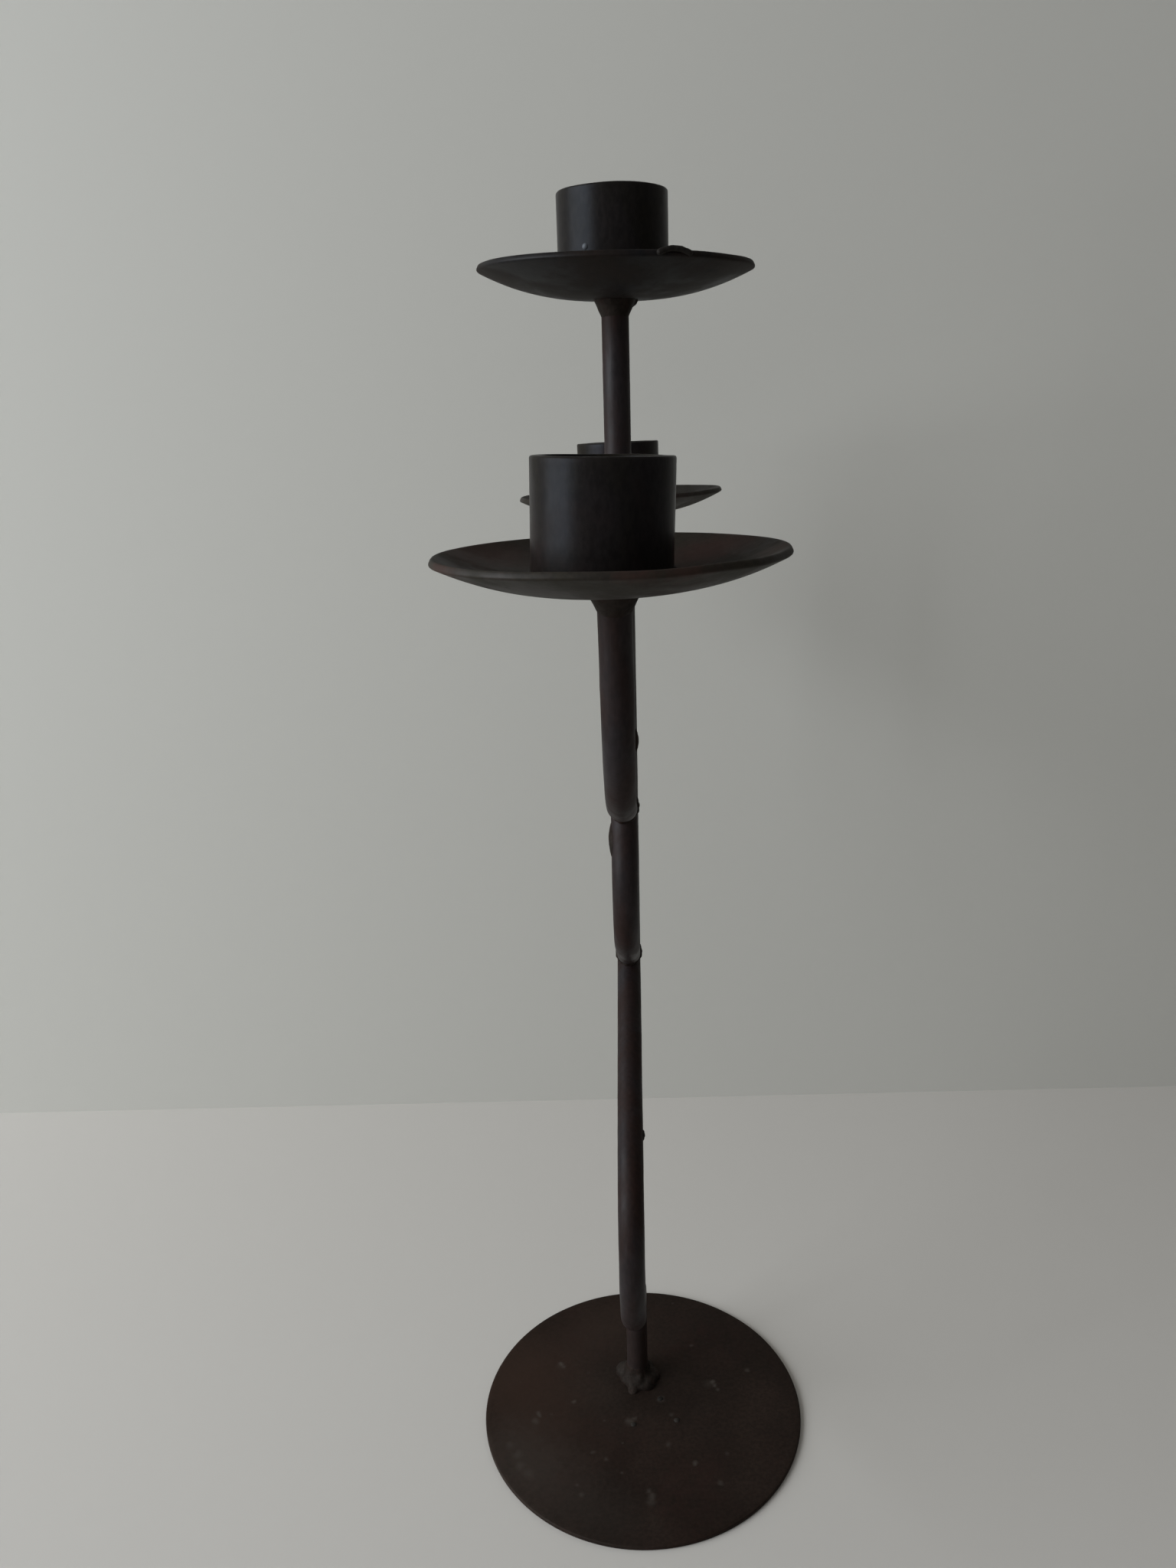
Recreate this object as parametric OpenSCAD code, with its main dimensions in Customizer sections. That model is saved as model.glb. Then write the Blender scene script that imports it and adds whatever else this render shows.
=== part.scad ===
// Three-light table candelabra of welded round bar, with a flat round base.
// Origin at the centre of the base's underside, +Z up. The bent bars lie in one upright plane
// across the X axis that leans a little to the right, and the front light stands towards -Y.
// Millimetres and degrees.

/* [Base] */
// Diameter of the flat base disc
base_d = 105; // [90:1:130]
// Thickness of the base disc
base_t = 1.5; // [1:0.1:4]

/* [Round bar] */
// Diameter of the round bar that all the arms are bent from
rod_d = 7; // [5:0.1:8]

// Distance of the foot of the bars to the right of the centre of the base
foot_x = -1.4; // [-4:0.1:4]
// Lean of the whole set of bars to the right, in degrees
bars_lean = 0.44; // [-2:0.02:2]

/* [Main bar: foot, front bow, rear light] */
// Distance of the foot behind the centre of the base
foot_y = 12; // [4:0.5:18]
// Height where the bar starts to lean forwards out of the foot
foot_corner_z = 40; // [36:0.5:46]
// Bend radius above the foot
foot_bend_r = 20; // [14:0.5:22]
// How far the corner of the front bow lies in front of the centre of the base
bow_reach = 83; // [76:0.5:90]
// Height of the corner of the front bow
bow_z = 100; // [94:0.5:106]
// Bend radius of the front bow
bow_bend_r = 32; // [26:0.5:36]
// Height of the corner where the bar turns up to the rear light
rear_corner_z = 215; // [206:0.5:222]
// Bend radius below the rear light
rear_bend_r = 45; // [30:0.5:50]

/* [Centre bar] */
// Height on the main bar's axis at which the centre bar is welded on
centre_joint_z = 160.5; // [154:0.5:166]
// How far the corner of the centre bow lies in front of the centre of the base
centre_bow_reach = 33; // [29:0.5:37]
// Height of the corner of the centre bow
centre_bow_z = 187; // [183:0.5:191]
// Bend radius of the centre bow
centre_bow_r = 26; // [20:0.5:30]
// Height at which the centre bar straightens up
centre_straighten_z = 306; // [296:0.5:312]
// Bend radius where the centre bar straightens up
centre_straighten_r = 80; // [50:1:110]
// Slope of the top stretch of the centre bar away from upright, in degrees
centre_top_slope = 1.4; // [0:0.1:4]

/* [Front arm] */
// Height on the centre bar's axis at which the front arm is welded on
front_joint_z = 219.5; // [216:0.5:224]
// How far the corner of the front arm lies in front of the centre of the base
front_corner_reach = 76.5; // [72:0.5:80]
// Height of the corner of the front arm
front_corner_z = 238; // [234:0.5:242]
// Bend radius of the front arm
front_bend_r = 38; // [30:0.5:42]

/* [Places of the lights] */
// Front light: distance in front of the centre of the base
front_reach = 86; // [80:0.5:92]
// Front light: height of the drip pan's underside
front_pan_z = 284.6; // [276:0.5:294]
// Front light: tip towards the front, in degrees
front_tip = 0.4; // [-3:0.1:3]
// Front light: lean of the pan to the right of the bar, in degrees
front_lean = -0.5; // [-3:0.1:3]
// Front light: how far the pan sits to the right of the bar
front_shift = -0.6; // [-1.5:0.1:1.5]
// Centre light: distance behind the centre of the base
centre_back = 4; // [0:0.5:8]
// Centre light: height of the drip pan's underside
centre_pan_z = 346.1; // [338:0.5:356]
// Centre light: tip towards the front, in degrees
centre_tip = 1.8; // [-3:0.1:3]
// Centre light: lean of the pan to the right of the bar, in degrees
centre_lean = 1.1; // [-3:0.1:3]
// Centre light: how far the pan sits to the right of the bar
centre_shift = 0.2; // [-1.5:0.1:1.5]
// Rear light: distance behind the centre of the base
rear_reach = 100; // [92:0.5:108]
// Rear light: height of the drip pan's underside
rear_pan_z = 286.2; // [278:0.5:296]
// Rear light: tip towards the front, in degrees
rear_tip = 0; // [-3:0.1:3]
// Rear light: lean of the pan to the right of the bar, in degrees
rear_lean = -1.5; // [-3:0.1:3]
// Rear light: how far the pan sits to the right of the bar
rear_shift = -0.6; // [-1.5:0.1:1.5]

/* [Drip pans] */
// Outer diameter of a drip pan
pan_d = 70; // [64:0.5:80]
// Height of the lower edge of a pan's rim above its underside
pan_depth = 6.8; // [5:0.1:9]
// Diameter of the flat middle of a pan
pan_flat_d = 13; // [12:0.5:16]
// Thickness of the pan's sheet
pan_t = 1.5; // [1:0.1:2.5]

/* [Candle cups] */
// Bore of a cup, for a 22 mm candle
cup_bore_d = 23; // [20:0.5:25]
// Wall of the pipe that a cup is cut from
cup_wall = 2.35; // [1.5:0.05:3]
// Chamfer inside the foot of a cup: its upper edge, above the pan's sheet
cup_foot_chamfer = 0.75; // [0.7:0.05:1.5]
// Front cup: height of its mouth above the floor of its pan
front_cup_h = 24.1; // [18:0.1:30]
// Front cup: shift to the right on its pan
front_cup_shift = -1.8; // [-2.5:0.1:2.5]
// Front cup: tip towards the front on its pan, in degrees
front_cup_tip = -0.4; // [-3:0.1:3]
// Front cup: lean to the right on its pan, in degrees
front_cup_lean = 2.3; // [-3:0.1:3]
// Centre cup: height of its mouth above the floor of its pan
centre_cup_h = 23.2; // [18:0.1:30]
// Centre cup: shift to the right on its pan
centre_cup_shift = -0.4; // [-2.5:0.1:2.5]
// Centre cup: tip towards the front on its pan, in degrees
centre_cup_tip = -1.8; // [-3:0.1:3]
// Centre cup: lean to the right on its pan, in degrees
centre_cup_lean = -1.1; // [-3:0.1:3]
// Rear cup: height of its mouth above the floor of its pan
rear_cup_h = 23.1; // [18:0.1:30]
// Rear cup: shift to the right on its pan
rear_cup_shift = -0.4; // [-2.5:0.1:2.5]
// Rear cup: tip towards the front on its pan, in degrees
rear_cup_tip = 0.3; // [-3:0.1:3]
// Rear cup: lean to the right on its pan, in degrees
rear_cup_lean = 0.5; // [-3:0.1:3]

/* [Welds] */
// Radius of the weld bead where two bars join
bead_r = 1.7; // [1.2:0.1:2.2]
// How much thicker a bead is above its joint, and how much thinner below and at the sides
bead_swell = 0.2; // [0.1:0.05:0.5]
// Number of lumps in the bead round a bar
bead_lumps = 15; // [11:1:16]
// Radius of the weld fillet under a drip pan
pan_bead_r = 2; // [1.6:0.1:3]
// Length of the flare of weld down the bar under a drip pan
pan_flare = 4; // [2:0.5:6]
// Radius of the larger lump in the weld under a drip pan, as a share of the fillet's
pan_lump_share = 0.9; // [0.6:0.05:1.1]
// Height of the cone of weld at the foot
foot_cone_h = 6.5; // [4:0.5:9]
// Radius of the lumps in the weld at the foot
foot_lump_r = 3.2; // [3:0.1:4.5]
// How much the lumps at the foot swell and shrink round the bar
foot_swell = 0.25; // [0:0.05:0.3]
// Number of lumps in the weld at the foot
foot_lumps = 7; // [5:1:9]
// Radius of the tacks that hold a cup on its pan
tack_r = 2.8; // [2:0.1:3.5]
// Number of tacks round a cup
tacks = 3; // [2:1:4]
// Angle of the first tack, from the right-hand side towards the back
first_tack = 25; // [10:1:60]
// How far the swellings of weld beside the front joint stand out from the bar
side_swell_out = 0.75; // [0.5:0.05:1]
// Radius of a drop of weld spatter
spatter_r = 1.1; // [0.8:0.1:1.6]
// Distance of the drop on the main bar from the corner of the front bow
spatter_along = 55.5; // [40:0.5:70]

/* [Hidden] */

iron = "#2b2826";
brown_iron = "#372b27";
pipe_iron = "#2c2e33";
weld_iron = "#3a3532";

round_fn = 64;
pan_fn = 120;
lump_fn = 32;

rod_r = rod_d / 2;
// A ball a hair larger than the bar joins each bend to its straight runs, across a short gap
ball_share = 1.006;
ball_r = rod_r * ball_share;
ball_gap = 0.1;
// Clearance between the hollowed end of a joining bar and the bar that it sits on
saddle_gap = 0.02;
pan_r = pan_d / 2;
pan_flat_r = pan_flat_d / 2;
cup_bore_r = cup_bore_d / 2;
cup_r = cup_bore_r + cup_wall;

// A tack's middle lies this far out from the cup's wall and up from the floor of the pan
tack_out = 0.2;
tack_up = 0.3;
// Each tack round a cup is this share smaller than the first
tack_shrink = 0.1;
// How far a cutting shape runs past the face that it cuts
cut_past = 1;

// Angle between one lump of a weld and the next in the waves that make the lumps uneven
uneven_step = 137;
// How far the lumps of a bead between bars lie inside the bars' skins
bead_sunk = 0.5;
// How uneven the lumps of a bead are, as a share of their radius
bead_uneven = 0.08;
// Swellings of weld on the sides of the centre bar: distance of the middle up the bar from the
// front joint, the side, 1 for right and -1 for left, and the length
side_swells = [[-8, -1, 9.6], [17.9, 1, 6.5]];
// A swelling is this round across, and its ends dive this share of its height below the bar's skin
side_swell_r = 2;
swell_dive = 0.1;
// A cone of weld starts this far outside the bar, and ends this far outside it
cone_thin = 0.15;
pan_cone_thick = 2.6;
foot_cone_thick = 3.2;
// The lumps at the foot lie this share of their radius outside the bar, give or take the sway
foot_lump_out = 0.25;
foot_lump_sway = 0.2;
// Direction of the larger lump under a pan, from the right-hand side towards the back
pan_lump_at = 20;

// Drops of spatter on the base, from the foot's middle, and the share of a drop that is sunk
spatter_places = [[7.6, -10], [-1.4, -20.6], [12.8, -18.9]];
spatter_sunk = 1 / 3;
// Drop on the wall of the centre cup: direction from the right-hand side, height on the cup, radius
cup_drop_at = 242;
cup_drop_z = 10.8;
cup_drop_r = 0.9;
// Burr on the edge of the centre pan: direction from the right-hand side, radius
burr_at = 293.5;
burr_out = 0.8;
burr_length = 7.8;
burr_r = 1.2;

// The pan's wall rises as an arc from the edge of its flat middle to the rim
pan_run = pan_r - pan_flat_r;
pan_arc_r = (pan_run * pan_run + pan_depth * pan_depth) / (2 * pan_depth);
// Slope of the pan's wall at the rim, where the sheet's edge is cut square to the wall
pan_rim_slope = asin(pan_run / pan_arc_r);

// Point at height z on the straight line from a to b
function on_line(a, b, z) = a + (b - a) * (z - a.y) / (b.y - a.y);

// Centre lines as corners [y, z], with a bend radius at each inner corner
bow_corner = [-bow_reach, bow_z];
rear_corner = [rear_reach, rear_corner_z];
main_line = [
    [foot_y, 0], [foot_y, foot_corner_z], bow_corner, rear_corner,
    [rear_reach, rear_pan_z + pan_t]
];
main_bends = [0, foot_bend_r, bow_bend_r, rear_bend_r, 0];

centre_bow_corner = [-centre_bow_reach, centre_bow_z];
centre_top_shift = (centre_pan_z - centre_straighten_z) * tan(centre_top_slope);
centre_straighten = [centre_back - centre_top_shift, centre_straighten_z];
centre_start = on_line(bow_corner, rear_corner, centre_joint_z);
centre_line = [
    centre_start, centre_bow_corner, centre_straighten,
    on_line(centre_straighten, [centre_back, centre_pan_z], centre_pan_z + pan_t)
];
centre_bends = [0, centre_bow_r, centre_straighten_r, 0];

front_corner = [-front_corner_reach, front_corner_z];
front_start = on_line(centre_bow_corner, centre_straighten, front_joint_z);
front_line = [
    front_start, front_corner,
    on_line(front_corner, [-front_reach, front_pan_z], front_pan_z + pan_t)
];
front_bends = [0, front_bend_r, 0];

// Heading of the straight run that leaves corner i, in the plane of the bars
function heading(line, i) = let (d = line[i + 1] - line[i]) atan2(d.y, d.x);
// Signed turn at corner i, between -180 and 180
function turn(line, i) =
    let (t = heading(line, i) - heading(line, i - 1))
    t > 180 ? t - 360 : t < -180 ? t + 360 : t;
// Length that the bend takes from the straight runs beside corner i
function bend_cut(line, bends, i) =
    i == 0 || i == len(line) - 1 ? 0 : bends[i] * tan(abs(turn(line, i)) / 2);
function unit(a) = [cos(a), sin(a)];

// Turns a shape drawn in the X-Y plane up into the plane of the bars
module bar_plane() {
    rotate([90, 0, 90]) children();
}

// Straight run number i of a bent bar, a short gap away from the bends beside it
module straight_run(line, bends, i, r = rod_r) {
    a = heading(line, i);
    gap_before = i > 0 ? ball_gap : 0;
    gap_after = i < len(line) - 2 ? ball_gap : 0;
    from = line[i] + unit(a) * (bend_cut(line, bends, i) + gap_before);
    to = line[i + 1] - unit(a) * (bend_cut(line, bends, i + 1) + gap_after);
    bar_plane() translate([from.x, from.y, 0]) rotate([0, 90, a])
        cylinder(h = norm(to - from), r = r, $fn = round_fn);
}

// Round bend at corner i of a bent bar, with the balls that join it to the straight runs
module round_bend(line, bends, i) {
    t = turn(line, i);
    side = sign(t);
    a = heading(line, i - 1);
    start = line[i] - unit(a) * bend_cut(line, bends, i);
    centre = start + unit(a + 90 * side) * bends[i];
    from = a - 90 * side;
    bar_plane() translate([centre.x, centre.y, 0]) rotate([0, 0, min(from, from + t)]) {
        rotate_extrude(angle = abs(t), $fn = pan_fn) translate([bends[i], 0])
            circle(r = rod_r, $fn = round_fn);
        for (end = [0, abs(t)]) rotate([0, 0, end]) translate([bends[i], 0, 0])
            sphere(r = ball_r, $fn = round_fn);
    }
}

module bent_bar(line, bends) {
    for (i = [0 : len(line) - 2]) straight_run(line, bends, i);
    for (i = [1 : len(line) - 2]) round_bend(line, bends, i);
}

// Stands the set of bars and lights on the base, leaning a little to the right
module standing() {
    translate([foot_x, 0, 0]) rotate([0, bars_lean, 0]) children();
}

// Places a light: the middle of its pan's underside at p, tipped to the front, leant to the right
module at_light(p, tip, lean) {
    standing() translate(p) rotate([tip, lean, 0]) children();
}
module at_front() {
    at_light([front_shift, -front_reach, front_pan_z], front_tip, front_lean) children();
}
module at_centre() {
    at_light([centre_shift, centre_back, centre_pan_z], centre_tip, centre_lean) children();
}
module at_rear() {
    at_light([rear_shift, rear_reach, rear_pan_z], rear_tip, rear_lean) children();
}

// Places a cup on its pan: moved to the right, tipped to the front and leant to the right
module on_floor(shift, tip, lean) {
    translate([shift, 0, 0]) rotate([tip, lean, 0]) children();
}

// Everything above a surface that lies lift above the pan's underside, out to the rim
module above_pan_surface(lift) {
    rotate_extrude($fn = pan_fn) {
        translate([0, lift]) square([pan_flat_r, pan_arc_r - lift]);
        intersection() {
            translate([pan_flat_r, pan_arc_r]) circle(r = pan_arc_r - lift, $fn = pan_fn * 2);
            translate([pan_flat_r, 0]) square([pan_run, pan_arc_r]);
        }
    }
}

module drip_pan() {
    wedge = 2 * pan_arc_r;
    color(brown_iron) rotate_extrude($fn = pan_fn) {
        square([pan_flat_r, pan_t]);
        translate([pan_flat_r, pan_arc_r]) intersection() {
            difference() {
                circle(r = pan_arc_r, $fn = pan_fn * 2);
                circle(r = pan_arc_r - pan_t, $fn = pan_fn * 2);
            }
            polygon([[0, 0], [0, -wedge], [wedge * sin(pan_rim_slope), -wedge * cos(pan_rim_slope)]]);
        }
    }
}

module candle_cup(h, shift, tip, lean) {
    chamfer_z = pan_t + cup_foot_chamfer;
    color(pipe_iron) intersection() {
        on_floor(shift, tip, lean) difference() {
            cylinder(h = pan_t + h, r = cup_r, $fn = pan_fn);
            translate([0, 0, -cut_past])
                cylinder(h = pan_t + h + 2 * cut_past, r = cup_bore_r, $fn = pan_fn);
            cylinder(h = chamfer_z + cut_past, r1 = cup_bore_r + chamfer_z,
                r2 = cup_bore_r - cut_past, $fn = pan_fn);
        }
        above_pan_surface(pan_t);
    }
}

// Lumps of weld in the corner between a cup's wall and the floor of its pan
module cup_tacks(h, shift, tip, lean) {
    floor_rise = pow(cup_r - pan_flat_r, 2) / (2 * (pan_arc_r - pan_t));
    color(weld_iron) difference() {
        intersection() {
            translate([shift, 0, 0]) union() for (i = [0 : tacks - 1])
                rotate([0, 0, first_tack + 360 * i / tacks])
                    translate([cup_r + tack_out, 0, pan_t + floor_rise + tack_up])
                        sphere(r = tack_r * (1 - tack_shrink * i), $fn = lump_fn);
            above_pan_surface(pan_t);
        }
        on_floor(shift, tip, lean) cylinder(h = pan_t + h, r = cup_r, $fn = pan_fn);
    }
}

// Flare of weld round the last stretch of a bar, up to the underside of its pan
module pan_cone(line) {
    i = len(line) - 2;
    bar_plane() translate([line[i + 1].x, line[i + 1].y, 0]) rotate([0, 90, heading(line, i)])
        translate([0, 0, -pan_t - pan_flare])
            cylinder(h = pan_t + pan_flare, r1 = rod_r + cone_thin, r2 = rod_r + pan_cone_thick,
                $fn = round_fn);
}

// Fillet of weld round the top of a bar, under a drip pan that sits shift to the right of it
module pan_bead(shift) {
    translate([-shift, 0, 0]) {
        rotate_extrude($fn = round_fn) translate([rod_r, 0]) circle(r = pan_bead_r, $fn = lump_fn);
        rotate([0, 0, pan_lump_at]) translate([rod_r + pan_bead_r / 2, 0, 0])
            sphere(r = pan_bead_r * pan_lump_share, $fn = lump_fn);
    }
}

// Distance along a joining bar from the other bar's axis to the saddle where the two meet
function saddle(turned, phi) =
    rod_r * (abs(cos(phi)) - cos(phi) * cos(turned)) / sin(turned);

// Lumpy bead round the joint of a bar that starts on the axis of another
module joint_bead(start, bar_heading, other_heading) {
    turned = bar_heading - other_heading;
    reach = rod_r - bead_sunk;
    bar_plane() translate([start.x, start.y, 0]) rotate([0, 0, bar_heading])
        for (i = [0 : bead_lumps - 1]) {
            phi = 360 * (i + 1 / 2) / bead_lumps;
            above = 2 * max(0, -cos(phi)) - 1;
            swell = bead_swell * above + bead_uneven * sin(uneven_step * i);
            translate([saddle(turned, phi), reach * cos(phi), reach * sin(phi)])
                sphere(r = bead_r * (1 + swell), $fn = lump_fn);
        }
}

// Smooth swelling of weld that runs along X and bulges out along Z, its highest point at out
module swelling(out, length, r) {
    arc_r = pow(length / 2, 2) / (2 * out) + out / 2;
    half_turn = acos(1 - (1 + swell_dive) * out / arc_r);
    translate([0, 0, out - arc_r]) rotate([-90, 0, 0]) rotate([0, 0, -90 - half_turn])
        rotate_extrude(angle = 2 * half_turn, $fn = pan_fn)
            translate([arc_r - r, 0]) circle(r = r, $fn = lump_fn);
}

module base_plate() {
    color(brown_iron) cylinder(h = base_t, d = base_d, $fn = pan_fn);
}

module main_rod() {
    color(iron) difference() {
        standing() bent_bar(main_line, main_bends);
        translate([0, 0, -cut_past]) cylinder(h = base_t + cut_past, d = base_d, $fn = pan_fn);
        at_rear() above_pan_surface(0);
    }
}

module centre_rod() {
    color(iron) difference() {
        standing() bent_bar(centre_line, centre_bends);
        standing() straight_run(main_line, main_bends, 2, rod_r + saddle_gap);
        at_centre() above_pan_surface(0);
    }
}

module front_arm() {
    color(iron) difference() {
        standing() bent_bar(front_line, front_bends);
        standing() straight_run(centre_line, centre_bends, 1, rod_r + saddle_gap);
        at_front() above_pan_surface(0);
    }
}

module front_drip_pan() { at_front() drip_pan(); }
module centre_drip_pan() { at_centre() drip_pan(); }
module rear_drip_pan() { at_rear() drip_pan(); }

module front_candle_cup() {
    at_front() candle_cup(front_cup_h, front_cup_shift, front_cup_tip, front_cup_lean);
}
module centre_candle_cup() {
    at_centre() candle_cup(centre_cup_h, centre_cup_shift, centre_cup_tip, centre_cup_lean);
}
module rear_candle_cup() {
    at_rear() candle_cup(rear_cup_h, rear_cup_shift, rear_cup_tip, rear_cup_lean);
}

module front_cup_tacks() {
    at_front() cup_tacks(front_cup_h, front_cup_shift, front_cup_tip, front_cup_lean);
}
module centre_cup_tacks() {
    at_centre() cup_tacks(centre_cup_h, centre_cup_shift, centre_cup_tip, centre_cup_lean);
}
module rear_cup_tacks() {
    at_rear() cup_tacks(rear_cup_h, rear_cup_shift, rear_cup_tip, rear_cup_lean);
}

// How far lump number i at the foot lies outside the bar, as a share of its radius
function foot_lump_out_share(i) = foot_lump_out + foot_lump_sway * cos(uneven_step * i);

module foot_weld() {
    color(weld_iron) difference() {
        intersection() {
            translate([foot_x, foot_y, 0]) {
                for (i = [0 : foot_lumps - 1]) rotate([0, 0, 360 * i / foot_lumps])
                    translate([rod_r + foot_lump_r * foot_lump_out_share(i), 0, base_t])
                        sphere(r = foot_lump_r * (1 + foot_swell * sin(uneven_step * i)), $fn = lump_fn);
                cylinder(h = base_t + foot_cone_h, r1 = rod_r + foot_cone_thick,
                    r2 = rod_r + cone_thin, $fn = round_fn);
            }
            translate([0, 0, base_t]) cylinder(h = foot_corner_z, d = base_d, $fn = pan_fn);
        }
        standing() straight_run(main_line, main_bends, 0);
    }
}

module centre_rod_weld() {
    color(weld_iron) standing() difference() {
        joint_bead(centre_start, heading(centre_line, 0), heading(main_line, 2));
        straight_run(main_line, main_bends, 2);
        straight_run(centre_line, centre_bends, 0);
    }
}

module front_arm_weld() {
    color(weld_iron) standing() difference() {
        union() {
            joint_bead(front_start, heading(front_line, 0), heading(centre_line, 1));
            bar_plane() translate([front_start.x, front_start.y, 0])
                rotate([0, 0, heading(centre_line, 1)])
                    for (s = side_swells)
                        translate([s[0], 0, 0]) rotate([s[1] > 0 ? 0 : 180, 0, 0])
                            translate([0, 0, rod_r])
                                swelling(side_swell_out, s[2], side_swell_r);
        }
        straight_run(centre_line, centre_bends, 1);
        round_bend(centre_line, centre_bends, 1);
        straight_run(front_line, front_bends, 0);
    }
}

module front_pan_weld() {
    color(weld_iron) difference() {
        union() {
            at_front() pan_bead(front_shift);
            standing() pan_cone(front_line);
        }
        standing() straight_run(front_line, front_bends, 1);
        at_front() above_pan_surface(0);
    }
}

module centre_pan_weld() {
    color(weld_iron) difference() {
        union() {
            at_centre() pan_bead(centre_shift);
            standing() pan_cone(centre_line);
        }
        standing() straight_run(centre_line, centre_bends, 2);
        at_centre() above_pan_surface(0);
    }
}

module rear_pan_weld() {
    color(weld_iron) difference() {
        union() {
            at_rear() pan_bead(rear_shift);
            standing() pan_cone(main_line);
        }
        standing() straight_run(main_line, main_bends, 3);
        at_rear() above_pan_surface(0);
    }
}

// Drops of weld metal on the base near the foot, on the main bar, and on the centre cup and pan
module weld_spatter() {
    rim_top_z = pan_arc_r - (pan_arc_r - pan_t) * cos(pan_rim_slope);
    rim_r = pan_r - pan_t / 2 * sin(pan_rim_slope);
    color(weld_iron) {
        at_centre() difference() {
            rotate([0, 0, burr_at]) translate([rim_r, 0, rim_top_z]) rotate([0, 0, 90])
                swelling(burr_out, burr_length, burr_r);
            drip_pan();
        }
        at_centre() on_floor(centre_cup_shift, centre_cup_tip, centre_cup_lean) difference() {
            rotate([0, 0, cup_drop_at]) translate([cup_r - cup_drop_r * spatter_sunk, 0, cup_drop_z])
                sphere(r = cup_drop_r, $fn = lump_fn);
            cylinder(h = pan_t + centre_cup_h, r = cup_r, $fn = pan_fn);
        }
        difference() {
            for (p = spatter_places)
                translate([foot_x + p.x, foot_y + p.y, base_t - spatter_r * spatter_sunk])
                    sphere(r = spatter_r, $fn = lump_fn);
            cylinder(h = base_t, d = base_d, $fn = pan_fn);
        }
        standing() difference() {
            bar_plane() translate([bow_corner.x, bow_corner.y, 0])
                rotate([0, 0, heading(main_line, 2)])
                    translate([spatter_along, 0, rod_r - spatter_r * spatter_sunk])
                        sphere(r = spatter_r, $fn = lump_fn);
            straight_run(main_line, main_bends, 2);
        }
    }
}

base_plate();
main_rod();
centre_rod();
front_arm();
front_drip_pan();
centre_drip_pan();
rear_drip_pan();
front_candle_cup();
centre_candle_cup();
rear_candle_cup();
foot_weld();
centre_rod_weld();
front_arm_weld();
front_pan_weld();
centre_pan_weld();
rear_pan_weld();
front_cup_tacks();
centre_cup_tacks();
rear_cup_tacks();
weld_spatter();
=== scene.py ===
"""Looks of a three-light table candelabra of bent round iron bar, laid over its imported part.

Metres and radians, in the part's own frame: +Z is up, the base stands on z = 0 and the front light
is towards -Y. The file is laid out as an add-on and run as a script.
"""
from math import acos, asin, atan2, cos, pi, radians, sin, sqrt, tan

import bmesh
import bpy
from bpy.props import (
    FloatProperty, FloatVectorProperty, IntProperty, PointerProperty,
)
from mathutils import Matrix, Vector, noise


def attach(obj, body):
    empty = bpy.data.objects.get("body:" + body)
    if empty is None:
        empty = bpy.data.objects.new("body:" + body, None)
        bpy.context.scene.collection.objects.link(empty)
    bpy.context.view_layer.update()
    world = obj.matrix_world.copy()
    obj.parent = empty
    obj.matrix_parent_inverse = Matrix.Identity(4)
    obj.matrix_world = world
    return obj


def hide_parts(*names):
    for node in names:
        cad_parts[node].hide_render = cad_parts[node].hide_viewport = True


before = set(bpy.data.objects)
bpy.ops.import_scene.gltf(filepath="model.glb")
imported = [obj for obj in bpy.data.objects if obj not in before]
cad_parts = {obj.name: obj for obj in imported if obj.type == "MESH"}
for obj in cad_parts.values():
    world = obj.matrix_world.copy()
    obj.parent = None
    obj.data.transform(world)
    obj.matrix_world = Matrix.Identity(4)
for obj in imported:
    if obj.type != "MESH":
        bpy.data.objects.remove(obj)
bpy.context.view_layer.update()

bl_info = {
    "name": "Table candelabra",
    "version": (1, 0, 0),
    "blender": (4, 5, 0),
    "location": "3D View > Sidebar > Candelabra",
    "description": "Builds a three-light candelabra of bent round iron bar, welded together",
    "category": "Add Mesh",
}

MM = 0.001
LIGHTS = ("front", "centre", "rear")
BASE_THICK = 1.5 * MM

# Corners of the bars' centre lines, (y, z), and the bend radius at each corner
MAIN_LINE = ((0.012, 0.0), (0.012, 0.040), (-0.083, 0.100), (0.100, 0.215), (0.100, 0.2877))
MAIN_BENDS = (0, 0.020, 0.032, 0.045, 0)
CENTRE_JOINT_Z = 0.1605
CENTRE_CORNERS = ((-0.033, 0.187), (0.00302, 0.306), (0.004037, 0.3476))
CENTRE_BENDS = (0, 0.026, 0.080, 0)
FRONT_JOINT_Z = 0.2195
FRONT_CORNERS = ((-0.0765, 0.238), (-0.086306, 0.2861))
FRONT_BENDS = (0, 0.038, 0)

# Swellings of weld on the centre bar: how far up the bar from the front joint, the side, -1 for
# left, and the length
SIDE_SWELLS = ((-0.008, -1, 0.0096), (0.0179, 1, 0.0065))
# Drops of spatter on the base, (x, y) from the bars' foot, and how far up the main bar's long run
# the drop on that bar sits
BASE_DROPS = ((0.0076, -0.010), (-0.0014, -0.0206), (0.0128, -0.0189))
BAR_DROP_UP = 0.0555
# The drop on the centre cup: its bearing round the cup, its height above the foot, its radius
CUP_DROP_BEARING, CUP_DROP_UP, CUP_DROP_R = radians(242), 0.0108, 0.0009
# The burr on the centre pan's rim: its bearing round the pan, its length, half its thickness
BURR_BEARING, BURR_LENGTH, BURR_R = radians(293.5), 0.0078, 0.00072

# How deep a piece reaches into the one that carries it
SUNK = 0.0002
# The angle past which an edge is rounded, and the steps of a full turn
SHARP, TURNED_STEPS = radians(50), 160
# The turn that makes each lump of a bead unlike the last, and the grain of the skin over lumps
UNEVEN_STEP = radians(137)
BEAD_GRAIN, JOINT_GRAIN, DROP_GRAIN = 0.0003, 0.00026, 0.0002


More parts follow.
